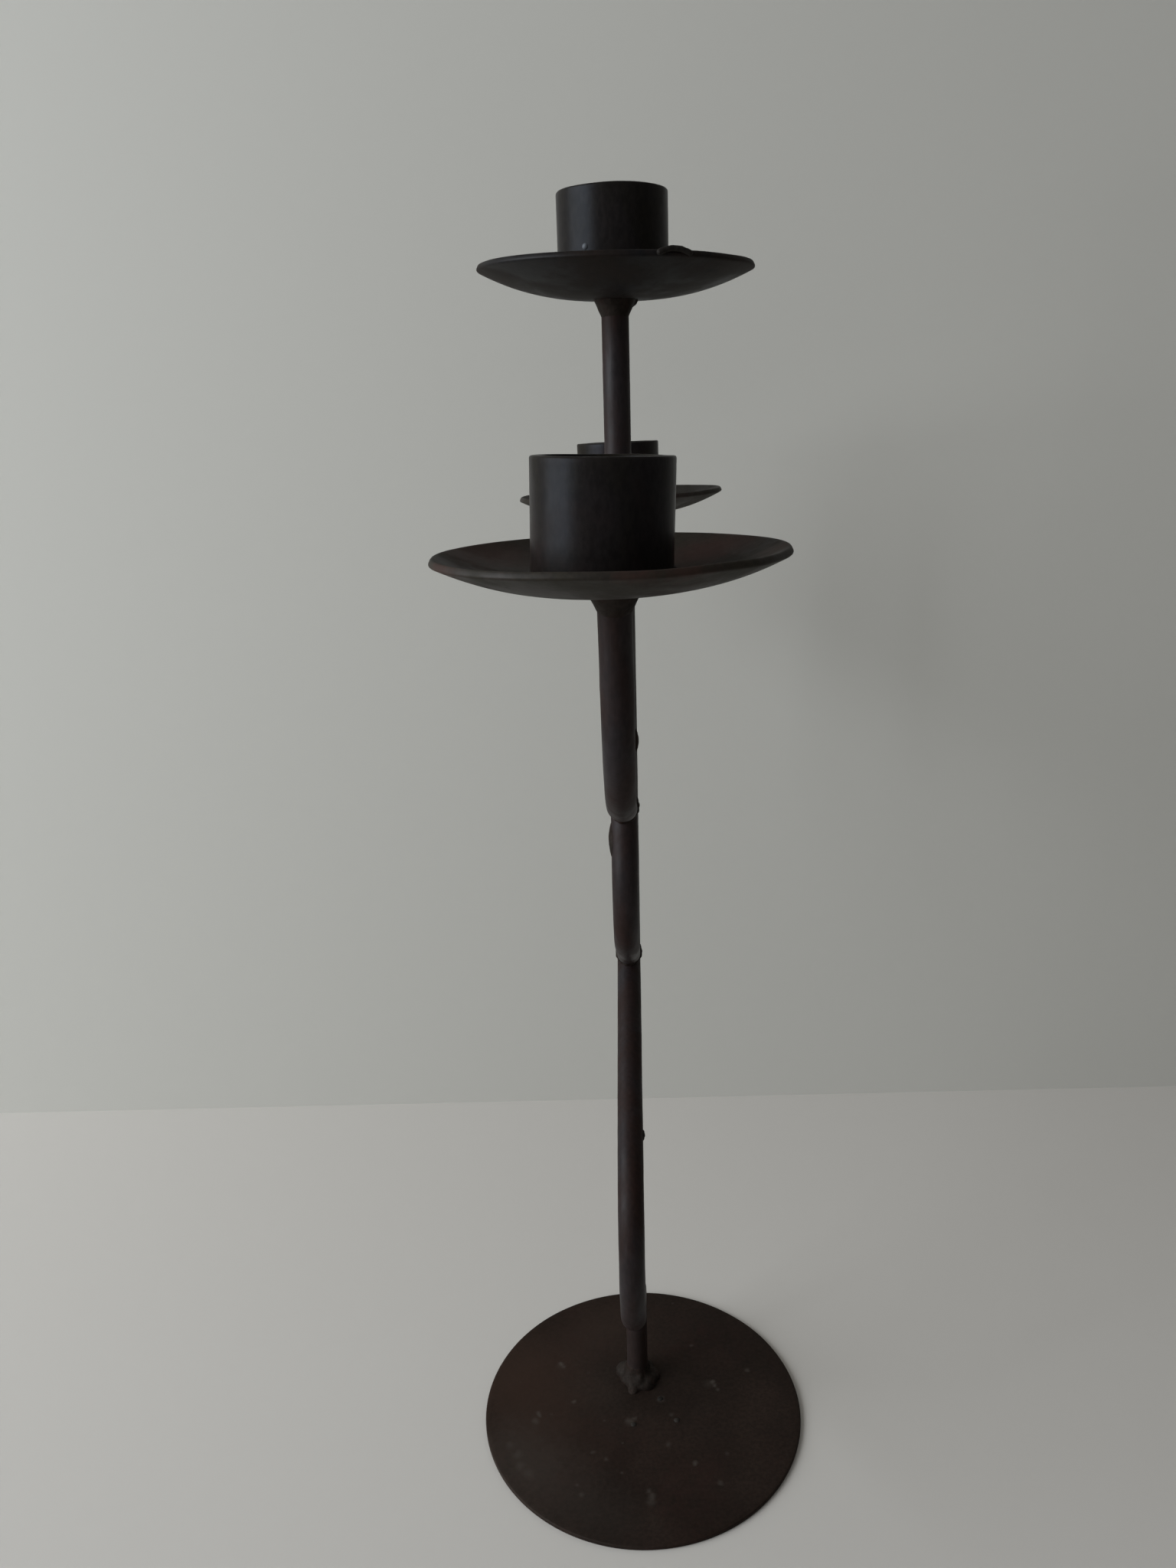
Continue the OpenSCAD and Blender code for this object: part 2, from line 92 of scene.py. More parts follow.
def on_base(*rows):
    """Marks on the base from (x, y, radius, strength), with the lengths in millimetres."""
    return [((x * MM, y * MM, BASE_THICK), r * MM, k) for x, y, r, k in rows]


def at_points(*rows):
    """Marks from (x, y, z, radius, strength), with the lengths in millimetres."""
    return [((x * MM, y * MM, z * MM), r * MM, k) for x, y, z, r, k in rows]


# Marks in the finishes, each with its strength
MARKS = {
    "pale_flecks": on_base(
        (24.0, 9.2, 1.3, 0.5), (24.8, 7.6, 1.2, 0.5), (25.8, 6.0, 1.1, 0.35),
        (22.6, 8.2, 2.6, 0.12), (-28.4, 17.1, 1.4, 0.5), (-27.4, 15.8, 1.1, 0.35),
        (-28.6, 16.2, 2.6, 0.12), (-22.9, 0.7, 1.3, 0.5), (-34.8, -4.1, 1.3, 0.5),
        (-34.2, -5.2, 1.1, 0.4), (-35.4, -7.5, 1.9, 0.35), (16.5, -23.5, 1.3, 0.5),
        (24.2, -30.7, 1.4, 0.35), (3.0, -35.5, 1.8, 0.35), (1.9, -33.6, 1.4, 0.35),
        (2.6, -37.5, 2.2, 0.25), (36.5, 14.3, 1.2, 0.45), (17.6, 25.6, 1.2, 0.35),
        (8.3, -16.5, 1.5, 0.3), (-18.7, -34.9, 1.5, 0.3), (-20.4, -31.6, 1.1, 0.25),
        (-38.7, -24.7, 2.4, 0.25), (-36.0, -27.5, 2.6, 0.2), (-11.5, -22.0, 1.2, 0.3),
        (-15.8, -19.5, 1.1, 0.25), (-4.2, -7.6, 2.2, 0.4), (-2.6, -6.2, 1.4, 0.35),
        (6.4, 1.8, 1.9, 0.45), (9.5, -4.6, 1.3, 0.25), (27.0, -20.0, 1.1, 0.25),
        (-40.0, -20.5, 2.4, 0.25), (-43.0, -17.0, 2.2, 0.2)),
    # Grey patches that paint the base paler on its left, most at the left front
    "pale_left_patches": on_base(
        (-40, -21, 24, 0.20), (-26, -34, 24, 0.13), (-10, -44, 20, 0.08), (-12, 2, 24, 0.05),
        (-14, 30, 22, 0.05)),
    "ruddy_places": on_base((-42, 12, 34, 0.70), (-32, -14, 30, 0.35), (-16, 36, 24, 0.35)),
    "foot_dust": at_points((-1.4, 10.6, 14, 34, 0.085)),
    "pan_rust": at_points(
        (-30.7, -74.4, 292.1, 12, 0.8), (-23.0, -67.7, 290.7, 11, 0.7),
        (17.8, -67.7, 289.2, 12, 0.9), (25.8, -68.6, 291.3, 12, 0.7),
        (4.9, -120.7, 291.2, 5, 0.7), (14.3, -118.1, 291.2, 6, 0.7),
        (-29.9, -102.6, 292.6, 9, 0.8), (32.5, -85.5, 291.8, 7, 0.6)),
    # Two near-black spots painted inside the centre pan's rim
    "pan_dark_spots": at_points((24.15, -16.13, 349.45, 1.6, 1.0), (25.35, -15.05, 349.9, 1.2, 0.8)),
    # A painted glint: a pale bluish spot laid over the drop on the centre cup's wall
    "drop_painted_glint": at_points((-5.53, -8.53, 356.95, 1.7, 1.0)),
}

# The stage: half the width of the table top and the wall, where the wall stands and how it turns,
# and the stretch left of the photograph's frame over which both deepen to a share of their colour
STAGE_HALF, WALL_HALF_HEIGHT = 0.8, 0.9
WALL_BACK, WALL_TURN = 0.188, radians(1.2)
DEEP_AT, FULL_AT, DEEP_SHARE = -0.72, -0.34, 0.27

# The camera that the photograph was measured with; its focal length and the frame's height are in
# the photograph's pixels
CAMERA_AT = (0.00544, -0.3115, 0.3143)
CAMERA_YAW, CAMERA_PITCH, CAMERA_ROLL = radians(2.85), radians(16.91), radians(2.23)
FOCAL_PIXELS, FRAME_PIXELS, SENSOR_MM = 1510.8, 2048, 36


# Sizes and colours


def length(name, description, default):
    """A size that can't be negative."""
    return FloatProperty(name=name, description=description, default=default, unit="LENGTH",
                         precision=4, min=0)


def three_lengths(name, description, default):
    """One length for each of the three lights."""
    return FloatVectorProperty(name=name, description=description + ": front, centre, rear",
                               default=default, size=3, unit="LENGTH", precision=4)


def three_angles(name, description, default):
    """One angle for each of the three lights, given here in degrees."""
    return FloatVectorProperty(name=name, description=description + ": front, centre, rear",
                               default=[radians(a) for a in default], size=3, unit="ROTATION")


def paint(name, description, default):
    """A colour, in linear values."""
    return FloatVectorProperty(name=name, description=description, default=default, size=3,
                               subtype="COLOR", min=0, max=1)


class BaseSizes(bpy.types.PropertyGroup):
    across: length("Base across", "Diameter of the flat base disc", 0.105)
    thick: length("Base thickness", "Thickness of the base disc", BASE_THICK)
    foot_y: length("Foot", "Distance of the bars' foot behind the middle of the base", 0.012)
    foot_x: FloatProperty(name="Foot sideways", default=-0.0014, unit="LENGTH", precision=4,
                          description="Distance of the bars' foot to the right of the middle")
    rim_round: length("Rim rounding", "Rounding of the disc's cut edge", 0.0004)


class BarSizes(bpy.types.PropertyGroup):
    across: length("Bar across", "Diameter of the round bar", 0.007)
    lean: FloatProperty(name="Lean", description="Lean of the whole set of bars to the right",
                        default=radians(0.44), unit="ROTATION")
    sides: IntProperty(name="Sides", description="Faces round a bar", default=40, min=12, max=96)
    uneven: length("Unevenness", "Depth of the marks of the forge on the bars", 0.00014)


class PanSizes(bpy.types.PropertyGroup):
    across: length("Pan across", "Diameter of a drip pan", 0.070)
    depth: length("Pan depth", "Height of the rim's lower edge above the underside", 0.0068)
    flat: length("Flat middle", "Diameter of the flat middle of a pan", 0.013)
    sheet: length("Sheet", "Thickness of the pans' sheet", 0.0015)
    rim_round: length("Rim rounding", "Rounding of a pan's cut edge", 0.00045)
    uneven: length("Unevenness", "How far a beaten pan strays from its true form", 0.00035)
    back: three_lengths("Distance back", "How far behind the middle of the base",
                        (-0.086, 0.004, 0.100))
    height: three_lengths("Height", "Height of the pan's underside", (0.2846, 0.3461, 0.2862))
    shift: three_lengths("Shift", "Shift to the right of the bar", (-0.0006, 0.0002, -0.0006))
    tip: three_angles("Tip", "Tip towards the front", (0.4, 1.8, 0))
    lean: three_angles("Lean", "Lean to the right", (-0.5, 1.1, -1.5))


class CupSizes(bpy.types.PropertyGroup):
    bore: length("Bore", "Bore of a cup, for a 22 mm candle", 0.023)
    wall: length("Wall", "Wall of the pipe", 0.00235)
    lip_round: length("Lip rounding", "Rounding of the sawn edge at the mouth", 0.00045)
    height: three_lengths("Height", "Height of the mouth above the pan's floor",
                          (0.0241, 0.0232, 0.0231))
    foot_chamfer: length("Foot chamfer", "Upper edge of the chamfer inside a cup's foot, above the "
                         "pan's sheet", 0.00075)
    shift: three_lengths("Shift", "Shift to the right on the pan", (-0.0018, -0.0004, -0.0004))
    tip: three_angles("Tip", "Tip towards the front on the pan", (-0.4, -1.8, 0.3))
    lean: three_angles("Lean", "Lean to the right on the pan", (2.3, -1.1, 0.5))


class WeldSizes(bpy.types.PropertyGroup):
    joint_lump: length("Joint lump", "Radius of the lumps where two bars join", 0.0017)
    side_swell: length("Side swelling", "How far the swellings beside the front joint stand out",
                       0.00075)
    burr: length("Burr", "How far the burr stands up from the centre pan's rim", 0.0008)
    pan_fillet: length("Pan fillet", "Radius of the bead under a pan", 0.0020)
    pan_flare: length("Pan flare", "Length of the flare of weld down the bar", 0.0040)
    foot_lump: length("Foot lump", "Radius of the lumps at the foot", 0.0032)
    foot_cone: length("Foot cone", "Height of the cone of weld at the foot", 0.0065)
    tack: length("Tack", "Radius of the tacks that hold a cup", 0.0028)
    drop: length("Drop", "Radius of a drop of spatter", 0.0011)


class Finishes(bpy.types.PropertyGroup):
    bar_iron: paint("Bar", "Colour of the round bar", (0.0138, 0.0108, 0.0116))
    base_sheet: paint("Base sheet", "Colour of the base", (0.0116, 0.0071, 0.0052))
    ruddy: paint("Ruddy scale", "Colour of the redder scale on the base", (0.0330, 0.0180, 0.0125))
    rusty_sheet: paint("Rusty sheet", "Colour of the front and rear pans", (0.0180, 0.0136, 0.0110))
    grey_sheet: paint("Grey sheet", "Colour of the centre pan", (0.0066, 0.0063, 0.0069))
    pipe_iron: paint("Pipe", "Colour of the cups", (0.0112, 0.0092, 0.0090))
    weld_iron: paint("Weld", "Colour of the weld metal", (0.0135, 0.0098, 0.0080))
    # Colour of the glint painted over the drop on the centre cup
    glinting_drop: paint("Drop", "Colour of a bright drop of spatter", (0.120, 0.128, 0.142))
    rust: paint("Rust", "Colour of the rust tint", (0.0230, 0.0105, 0.0082))
    olive: paint("Olive", "Colour of the oily patches", (0.0120, 0.0098, 0.0060))
    # Also the colour of the sheen painted on edges and on the welds' tops
    dust_and_sheen: paint("Dust", "Colour of settled dust", (0.074, 0.064, 0.055))
    floor: paint("Table top", "Colour of the table top", (0.546, 0.518, 0.484))
    wall: paint("Wall", "Colour of the wall behind", (0.462, 0.449, 0.415))


# Places


def sizes(context, name):
    """One group of the sizes and colours that the panel shows."""
    return getattr(context.scene, "candelabra_" + name)


def standing(context):
    """Stands the set of bars on the base, leaning a little to the right."""
    base, bars = sizes(context, "base"), sizes(context, "bars")
    return Matrix.Translation((base.foot_x, 0, 0)) @ Matrix.Rotation(bars.lean, 4, "Y")


def tipped(tip, lean):
    """Turn of a piece that tips towards the front and then leans to the right."""
    return Matrix.Rotation(lean, 4, "Y") @ Matrix.Rotation(tip, 4, "X")


def at_light(context, i):
    """Frame of a pan: its origin is the middle of the pan's underside."""
    pans = sizes(context, "pans")
    place = Matrix.Translation((pans.shift[i], pans.back[i], pans.height[i]))
    return standing(context) @ place @ tipped(pans.tip[i], pans.lean[i])


def on_floor(context, i):
    """Frame of a cup, inside the frame of its pan."""
    cups = sizes(context, "cups")
    return Matrix.Translation((cups.shift[i], 0, 0)) @ tipped(cups.tip[i], cups.lean[i])


def pan_arc(pans):
    """Radius of the arc of a pan's wall, outside, and the slope of the wall at the rim."""
    run = (pans.across - pans.flat) / 2
    arc = (run * run + pans.depth * pans.depth) / (2 * pans.depth)
    return arc, asin(run / arc)


def pan_floor(pans, r):
    """Height of the top of a pan's sheet at radius r."""
    arc = pan_arc(pans)[0]
    out = max(0, r - pans.flat / 2)
    return arc - sqrt((arc - pans.sheet) ** 2 - out * out)


def on_line(a, b, z):
    """The point at height z on the straight line from a to b."""
    return (a[0] + (b[0] - a[0]) * (z - a[1]) / (b[1] - a[1]), z)


CENTRE_START = on_line(MAIN_LINE[2], MAIN_LINE[3], CENTRE_JOINT_Z)
CENTRE_LINE = (CENTRE_START,) + CENTRE_CORNERS
FRONT_START = on_line(CENTRE_LINE[1], CENTRE_LINE[2], FRONT_JOINT_Z)
FRONT_LINE = (FRONT_START,) + FRONT_CORNERS


def heading(line, i):
    """Direction of the straight run that leaves corner i, as an angle in the plane of the bars."""
    return atan2(line[i + 1][1] - line[i][1], line[i + 1][0] - line[i][0])


def in_plane(y, z):
    """A point in the plane of the bars."""
    return Vector((0, y, z))


def along(angle):
    """Direction at an angle in the plane of the bars, from straight back."""
    return Vector((0, cos(angle), sin(angle)))


# Shaping


def verts_in(geom):
    return [g for g in geom if isinstance(g, bmesh.types.BMVert)]


def edges_in(geom):
    return [g for g in geom if isinstance(g, bmesh.types.BMEdge)]


def draw_out(bm, ring, step, count):
    """Draws a ring of edges out into a tube, one step at a time, and gives back the last ring."""
    for _ in range(count):
        new = bmesh.ops.extrude_edge_only(bm, edges=ring)["geom"]
        bmesh.ops.translate(bm, verts=verts_in(new), vec=step)
        ring = [e for e in edges_in(new) if e.is_boundary]
    return ring


def bend_round(bm, ring, centre, turn, steps):
    """Bends a ring of edges round a centre in the plane of the bars."""
    geom = list({v for e in ring for v in e.verts}) + list(ring)
    axis = (1 if turn > 0 else -1, 0, 0)
    new = bmesh.ops.spin(bm, geom=geom, cent=centre, axis=axis, dvec=(0, 0, 0), angle=abs(turn),
                         steps=steps, use_merge=False, use_normal_flip=False, use_duplicate=False)
    return edges_in(new["geom_last"])


def bent_bar(line, bends, radius, sides, step=0.0016):
    """Bends one round bar along its line of corners, with round bends."""
    bm = bmesh.new()
    turns = [0.0]
    for i in range(1, len(line) - 1):
        t = heading(line, i) - heading(line, i - 1)
        turns.append((t + pi) % (2 * pi) - pi)
    turns.append(0.0)
    cuts = [r * tan(abs(t) / 2) for r, t in zip(bends, turns)]
    face = Vector((0, 0, 1)).rotation_difference(along(heading(line, 0))).to_matrix().to_4x4()
    bmesh.ops.create_circle(bm, cap_ends=False, radius=radius, segments=sides,
                            matrix=Matrix.Translation(in_plane(*line[0])) @ face)
    ring = bm.edges[:]
    for i in range(len(line) - 1):
        way = along(heading(line, i))
        run = (in_plane(*line[i + 1]) - in_plane(*line[i])).length - cuts[i] - cuts[i + 1]
        count = max(2, round(run / step))
        ring = draw_out(bm, ring, way * run / count, count)
        turn = turns[i + 1]
        if turn:
            start = in_plane(*line[i + 1]) - way * cuts[i + 1]
            side = 1 if turn > 0 else -1
            centre = start + along(heading(line, i) + side * pi / 2) * bends[i + 1]
            count = max(4, round(abs(turn) * bends[i + 1] / step))
            ring = bend_round(bm, ring, centre, turn, count)
    return bm


def spin_full(bm, steps):
    """Turns a profile in the X-Z plane into a full round, closed at its seam and its pole."""
    bmesh.ops.spin(bm, geom=bm.verts[:] + bm.edges[:], cent=(0, 0, 0), axis=(0, 0, 1),
                   dvec=(0, 0, 0), angle=2 * pi, steps=steps, use_merge=True,
                   use_normal_flip=False, use_duplicate=False)
    bmesh.ops.remove_doubles(bm, verts=bm.verts[:], dist=1e-6)
    bmesh.ops.recalc_face_normals(bm, faces=bm.faces[:])


def grow_profile(bm, vert, step, count):
    """Adds a straight run of short edges to the end of a profile."""
    for _ in range(count):
        vert = verts_in(bmesh.ops.extrude_vert_indiv(bm, verts=[vert])["verts"])[0]
        bmesh.ops.translate(bm, verts=[vert], vec=step)
    return vert


def thicken(bm, thickness, up):
    """Gives a skin its thickness, on the side that faces away from up."""
    lowest = min(bm.faces, key=lambda f: f.calc_center_median().xy.length)
    if lowest.normal.z * up < 0:
        bmesh.ops.reverse_faces(bm, faces=bm.faces[:])
    bmesh.ops.solidify(bm, geom=bm.faces[:], thickness=thickness)


def round_edges(bm, size, leave=frozenset()):
    """Rounds the sharp edges, apart from those with a point in leave."""
    edges = [e for e in bm.edges
             if e.calc_face_angle(0) > SHARP and leave.isdisjoint(e.verts)]
    bmesh.ops.bevel(bm, geom=edges, offset=size, offset_type="OFFSET", segments=3,
                    profile=0.5, affect="EDGES", clamp_overlap=True, material=-1)


def forge_marks(bm, depth, size, finer=0.35, sunk=1.0):
    """Moves each point along its normal by soft waves with finer ones on them; sunk 1 keeps every
    point inside the true form, and sunk 0 lets half of them stand out."""
    bm.normal_update()
    moves = []
    for v in bm.verts:
        fine = noise.noise(v.co / (size * 0.37) + Vector((7, 3, 1)))
        wave = noise.noise(v.co / size) + finer * fine
        moves.append(v.normal * (depth * (wave / (1 + finer) - sunk) / 2))
    for v, move in zip(bm.verts, moves):
        v.co += move


def cut_flat(bm, point, normal):
    """Cuts away what lies beyond a plane and closes the cut."""
    geom = bm.verts[:] + bm.edges[:] + bm.faces[:]
    cut = bmesh.ops.bisect_plane(bm, geom=geom, dist=1e-7, plane_co=point, plane_no=normal,
                                 clear_outer=True, clear_inner=False)["geom_cut"]
    bmesh.ops.holes_fill(bm, edges=edges_in(cut), sides=0)


def close_ends(bm):
    """Closes the open ends of a bar."""
    bmesh.ops.holes_fill(bm, edges=[e for e in bm.edges if e.is_boundary], sides=0)


def ball(bm, place, radius, squash=1.0):
    """A lump of metal, flattened by squash along Z."""
    matrix = Matrix.Translation(place) @ Matrix.Diagonal((1, 1, squash, 1))
    bmesh.ops.create_icosphere(bm, subdivisions=3, radius=radius, matrix=matrix)


def cone(bm, low, high, low_r, high_r, place=Matrix()):
    """A cone between two heights on the Z axis of a frame."""
    bmesh.ops.create_cone(bm, cap_ends=True, cap_tris=True, segments=40, radius1=low_r,
                          radius2=high_r, depth=high - low,
                          matrix=place @ Matrix.Translation((0, 0, (low + high) / 2)))


def swelling(bm, out, span, bead, place):
    """A smooth row of lumps of radius bead that runs along X of a frame and bulges out along Z."""
    lumps = 21
    arc = (span / 2) ** 2 / (2 * out) + out / 2
    half = acos(1 - 1.1 * out / arc)
    for k in range(lumps):
        turn = half * (2 * k / (lumps - 1) - 1)
        middle = Vector(((arc - bead) * sin(turn), 0, out - arc + (arc - bead) * cos(turn)))
        ball(bm, place @ middle, bead)


def run_together(bm, grain, soften):
    """Runs overlapping lumps into one skin, as molten metal does, and softens it."""
    lumps = bpy.data.meshes.new("lumps")
    bm.to_mesh(lumps)
    bm.free()
    holder = bpy.data.objects.new("lumps", lumps)
    bpy.context.scene.collection.objects.link(holder)
    remesh = holder.modifiers.new("skin", "REMESH")
    remesh.mode = "VOXEL"
    remesh.voxel_size = grain
    skin = holder.evaluated_get(bpy.context.evaluated_depsgraph_get()).to_mesh()
    out = bmesh.new()
    out.from_mesh(skin)
    bpy.data.objects.remove(holder)
    bpy.data.meshes.remove(lumps)
    for _ in range(soften):
        bmesh.ops.smooth_vert(out, verts=out.verts[:], factor=0.5, use_axis_x=True,
                              use_axis_y=True, use_axis_z=True)
    return out


def finish_piece(name, bm, material, nodes):
    """Makes the finished object, in place, and hands it to the frame."""
    bmesh.ops.recalc_face_normals(bm, faces=bm.faces[:])
    for f in bm.faces:
        f.smooth = True
    mesh = bpy.data.meshes.new(name)
    bm.to_mesh(mesh)
    bm.free()
    piece = bpy.data.objects.new(name, mesh)
    bpy.context.scene.collection.objects.link(piece)
    mesh.materials.append(material)
    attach(piece, "root")
    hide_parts(*nodes)


# Finishes


def add_node(tree, kind, fields=None, sockets=None):
    """Adds a shader node; each socket takes a plain value or another node's output."""
    node = tree.nodes.new("ShaderNode" + kind)
    for field, value in (fields or {}).items():
        setattr(node, field, value)
    for key, value in (sockets or {}).items():
        if isinstance(value, bpy.types.NodeSocket):
            tree.links.new(value, node.inputs[key])
        else:
            node.inputs[key].default_value = value
    return node


def new_effect(name, takes, gives):
    """Starts a node group; takes and gives list its sockets as (name, kind, value)."""
    group = bpy.data.node_groups.new(name, "ShaderNodeTree")
    for label, kind, value in takes:
        socket = group.interface.new_socket(name=label, in_out="INPUT",
                                            socket_type="NodeSocket" + kind)
        socket.default_value = value
    for label, kind in gives:
        group.interface.new_socket(name=label, in_out="OUTPUT", socket_type="NodeSocket" + kind)
    start = group.nodes.new("NodeGroupInput")
    end = group.nodes.new("NodeGroupOutput")
    return group, start.outputs, end.inputs


def spread(tree, value, low, high, to_low=0.0, to_high=1.0):
    """Stretches a value from low..high to to_low..to_high, softly at both ends."""
    return add_node(tree, "MapRange", {"interpolation_type": "SMOOTHSTEP"},
                    {0: value, 1: low, 2: high, 3: to_low, 4: to_high}).outputs[0]


def maths(tree, work, a, b, clamp=False):
    """One sum of two values."""
    return add_node(tree, "Math", {"operation": work, "use_clamp": clamp}, {0: a, 1: b}).outputs[0]


def blended(tree, amount, a, b, blend="MIX"):
    """Goes from colour a to colour b, or to b laid on a, by an amount."""
    node = add_node(tree, "Mix", {"data_type": "RGBA", "blend_type": blend},
                    {0: amount, 6: a, 7: b})
    return node.outputs[2]


def cloud(tree, where, scale, detail, roughness, distortion=0.0):
    """A soft noise, with values round a half."""
    return add_node(tree, "TexNoise", None, {
        "Vector": where, "Scale": scale, "Detail": detail, "Roughness": roughness,
        "Distortion": distortion}).outputs[0]


def offset(tree, where, by):
    """Shifts a pattern, so that two clouds of one scale don't fall together."""
    return add_node(tree, "Mapping", None, {"Vector": where, "Location": by}).outputs[0]


def forge_scale():
    """Dark scale on hot-worked iron: a mottled mask, a fine grain and a height."""
    group, take, give = new_effect(
        "forge_scale",
        [("Patch size", "Float", 60.0), ("Grain size", "Float", 900.0),
         ("Along", "Vector", (1, 1, 1))],
        [("Mottle", "Float"), ("Grain", "Float"), ("Height", "Float")])
    spot = group.nodes.new("ShaderNodeTexCoord").outputs["Object"]
    spot = add_node(group, "Mapping", None, {"Vector": spot, "Scale": take["Along"]}).outputs[0]
    patches = cloud(group, spot, take["Patch size"], 5.0, 0.6, 0.4)
    grain = cloud(group, offset(group, spot, (3, 1, 2)), take["Grain size"], 3.0, 0.65)
    group.links.new(spread(group, patches, 0.36, 0.66), give["Mottle"])
    group.links.new(spread(group, grain, 0.3, 0.7), give["Grain"])
    dents = cloud(group, offset(group, spot, (5, 9, 4)), take["Patch size"], 2.0, 0.5)
    height = maths(group, "ADD", maths(group, "MULTIPLY", grain, 0.25), dents)
    group.links.new(height, give["Height"])
    return group


def rust_bloom():
    """Patches of rust that come through the scale."""
    group, take, give = new_effect(
        "rust_bloom", [("Size", "Float", 45.0), ("Amount", "Float", 0.5)], [("Mask", "Float")])
    spot = group.nodes.new("ShaderNodeTexCoord").outputs["Object"]
    large = cloud(group, offset(group, spot, (11, 4, 7)), take["Size"], 3.0, 0.55, 0.3)
    small_size = maths(group, "MULTIPLY", take["Size"], 9.0)
    small = cloud(group, offset(group, spot, (2, 8, 5)), small_size, 4.0, 0.7)
    mask = maths(group, "MULTIPLY", spread(group, large, 0.44, 0.68),
                 spread(group, small, 0.3, 0.65))
    group.links.new(maths(group, "MULTIPLY", mask, take["Amount"], True), give["Mask"])
    return group


def edge_wear_and_sheen():
    """Edges painted paler, broken up by a fine cloud: rubbing by handling, and a painted sheen on
    rims and bends.
    """
    group, take, give = new_effect(
        "edge_wear_and_sheen", [("Start", "Float", 0.53), ("End", "Float", 0.62), ("Amount", "Float", 0.6)],
        [("Mask", "Float")])
    geometry = group.nodes.new("ShaderNodeNewGeometry")
    spot = group.nodes.new("ShaderNodeTexCoord").outputs["Object"]
    edge = spread(group, geometry.outputs["Pointiness"], take["Start"], take["End"])
    broken = spread(group, cloud(group, spot, 260.0, 3.0, 0.6), 0.35, 0.6, 0.3, 1.0)
    mask = maths(group, "MULTIPLY", maths(group, "MULTIPLY", edge, broken), take["Amount"], True)
    group.links.new(mask, give["Mask"])
    return group


def dusting_and_top_sheen():
    """A grey layer with paler specks on what faces up: a dusting, and a painted sheen on the tops.
    """
    group, take, give = new_effect(
        "dusting_and_top_sheen",
        [("Film", "Float", 0.15), ("Specks", "Float", 0.5), ("Spacing", "Float", 170.0)],
        [("Mask", "Float")])
    geometry = group.nodes.new("ShaderNodeNewGeometry")
    spot = group.nodes.new("ShaderNodeTexCoord").outputs["Object"]
    upward = add_node(group, "SeparateXYZ", None, {0: geometry.outputs["Normal"]}).outputs[2]
    up = spread(group, upward, 0.35, 0.95)
    film_and_sheen = maths(group, "MULTIPLY", spread(group, cloud(group, spot, 38.0, 5.0, 0.6), 0.3, 0.75),
                 take["Film"])
    grains = add_node(group, "TexVoronoi", {"feature": "F1"},
                      {"Vector": spot, "Scale": take["Spacing"], "Randomness": 1.0})
    near = spread(group, grains.outputs["Distance"], 0.055, 0.13, 1.0, 0.0)
    chosen = add_node(group, "SeparateXYZ", None, {0: grains.outputs["Color"]}).outputs[0]
    few = spread(group, chosen, 0.80, 0.92)
    specks = maths(group, "MULTIPLY", maths(group, "MULTIPLY", near, few), take["Specks"])
    mask = maths(group, "MULTIPLY", maths(group, "ADD", film_and_sheen, specks), up, True)
    group.links.new(mask, give["Mask"])
    return group


def fading_marks(name):
    """One of the sets of marks, each a blurred spot of its own size and strength, ragged at its
    edge."""
    group, take, give = new_effect(name, [("Ragged", "Float", 0.0006)], [("Mask", "Float")])
    spot = group.nodes.new("ShaderNodeTexCoord").outputs["Object"]
    ragged = add_node(group, "TexNoise", None, {"Vector": spot, "Scale": 420.0, "Detail": 3.0})
    sway = add_node(group, "VectorMath", {"operation": "SUBTRACT"},
                    {0: ragged.outputs["Color"], 1: (0.5, 0.5, 0.5)}).outputs[0]
    sway = add_node(group, "VectorMath", {"operation": "SCALE"},
                    {0: sway, 3: take["Ragged"]}).outputs[0]
    spot = add_node(group, "VectorMath", {"operation": "ADD"}, {0: spot, 1: sway}).outputs[0]
    total = 0.0
    for place, radius, strength in MARKS[name]:
        away = add_node(group, "VectorMath", {"operation": "DISTANCE"},
                        {0: spot, 1: place}).outputs[1]
        mark = spread(group, away, 0.0, radius, strength, 0.0)
        total = maths(group, "ADD", total, mark, True)
    group.links.new(total, give["Mask"])
    return group


SKIN_EFFECTS = {"forge_scale": forge_scale, "rust_bloom": rust_bloom, "edge_wear_and_sheen": edge_wear_and_sheen,
                "dusting_and_top_sheen": dusting_and_top_sheen}


def effect(tree, name, **values):
    """Places one of the shared effects in a material, with its own values, and makes it first if
    no material has it yet."""
    group = bpy.data.node_groups.get(name)
    if group is None:
        group = SKIN_EFFECTS[name]() if name in SKIN_EFFECTS else fading_marks(name)
    node = tree.nodes.new("ShaderNodeGroup")
    node.node_tree = group
    for label, value in values.items():
        node.inputs[label.replace("_", " ")].default_value = value
    return node.outputs


def shade(colour, share):
    """A colour made darker or paler by a share."""
    return tuple(c * share for c in colour)


def opaque(colour, share=1.0):
    """A colour as a shader's socket takes it."""
    return shade(colour, share) + (1.0,)


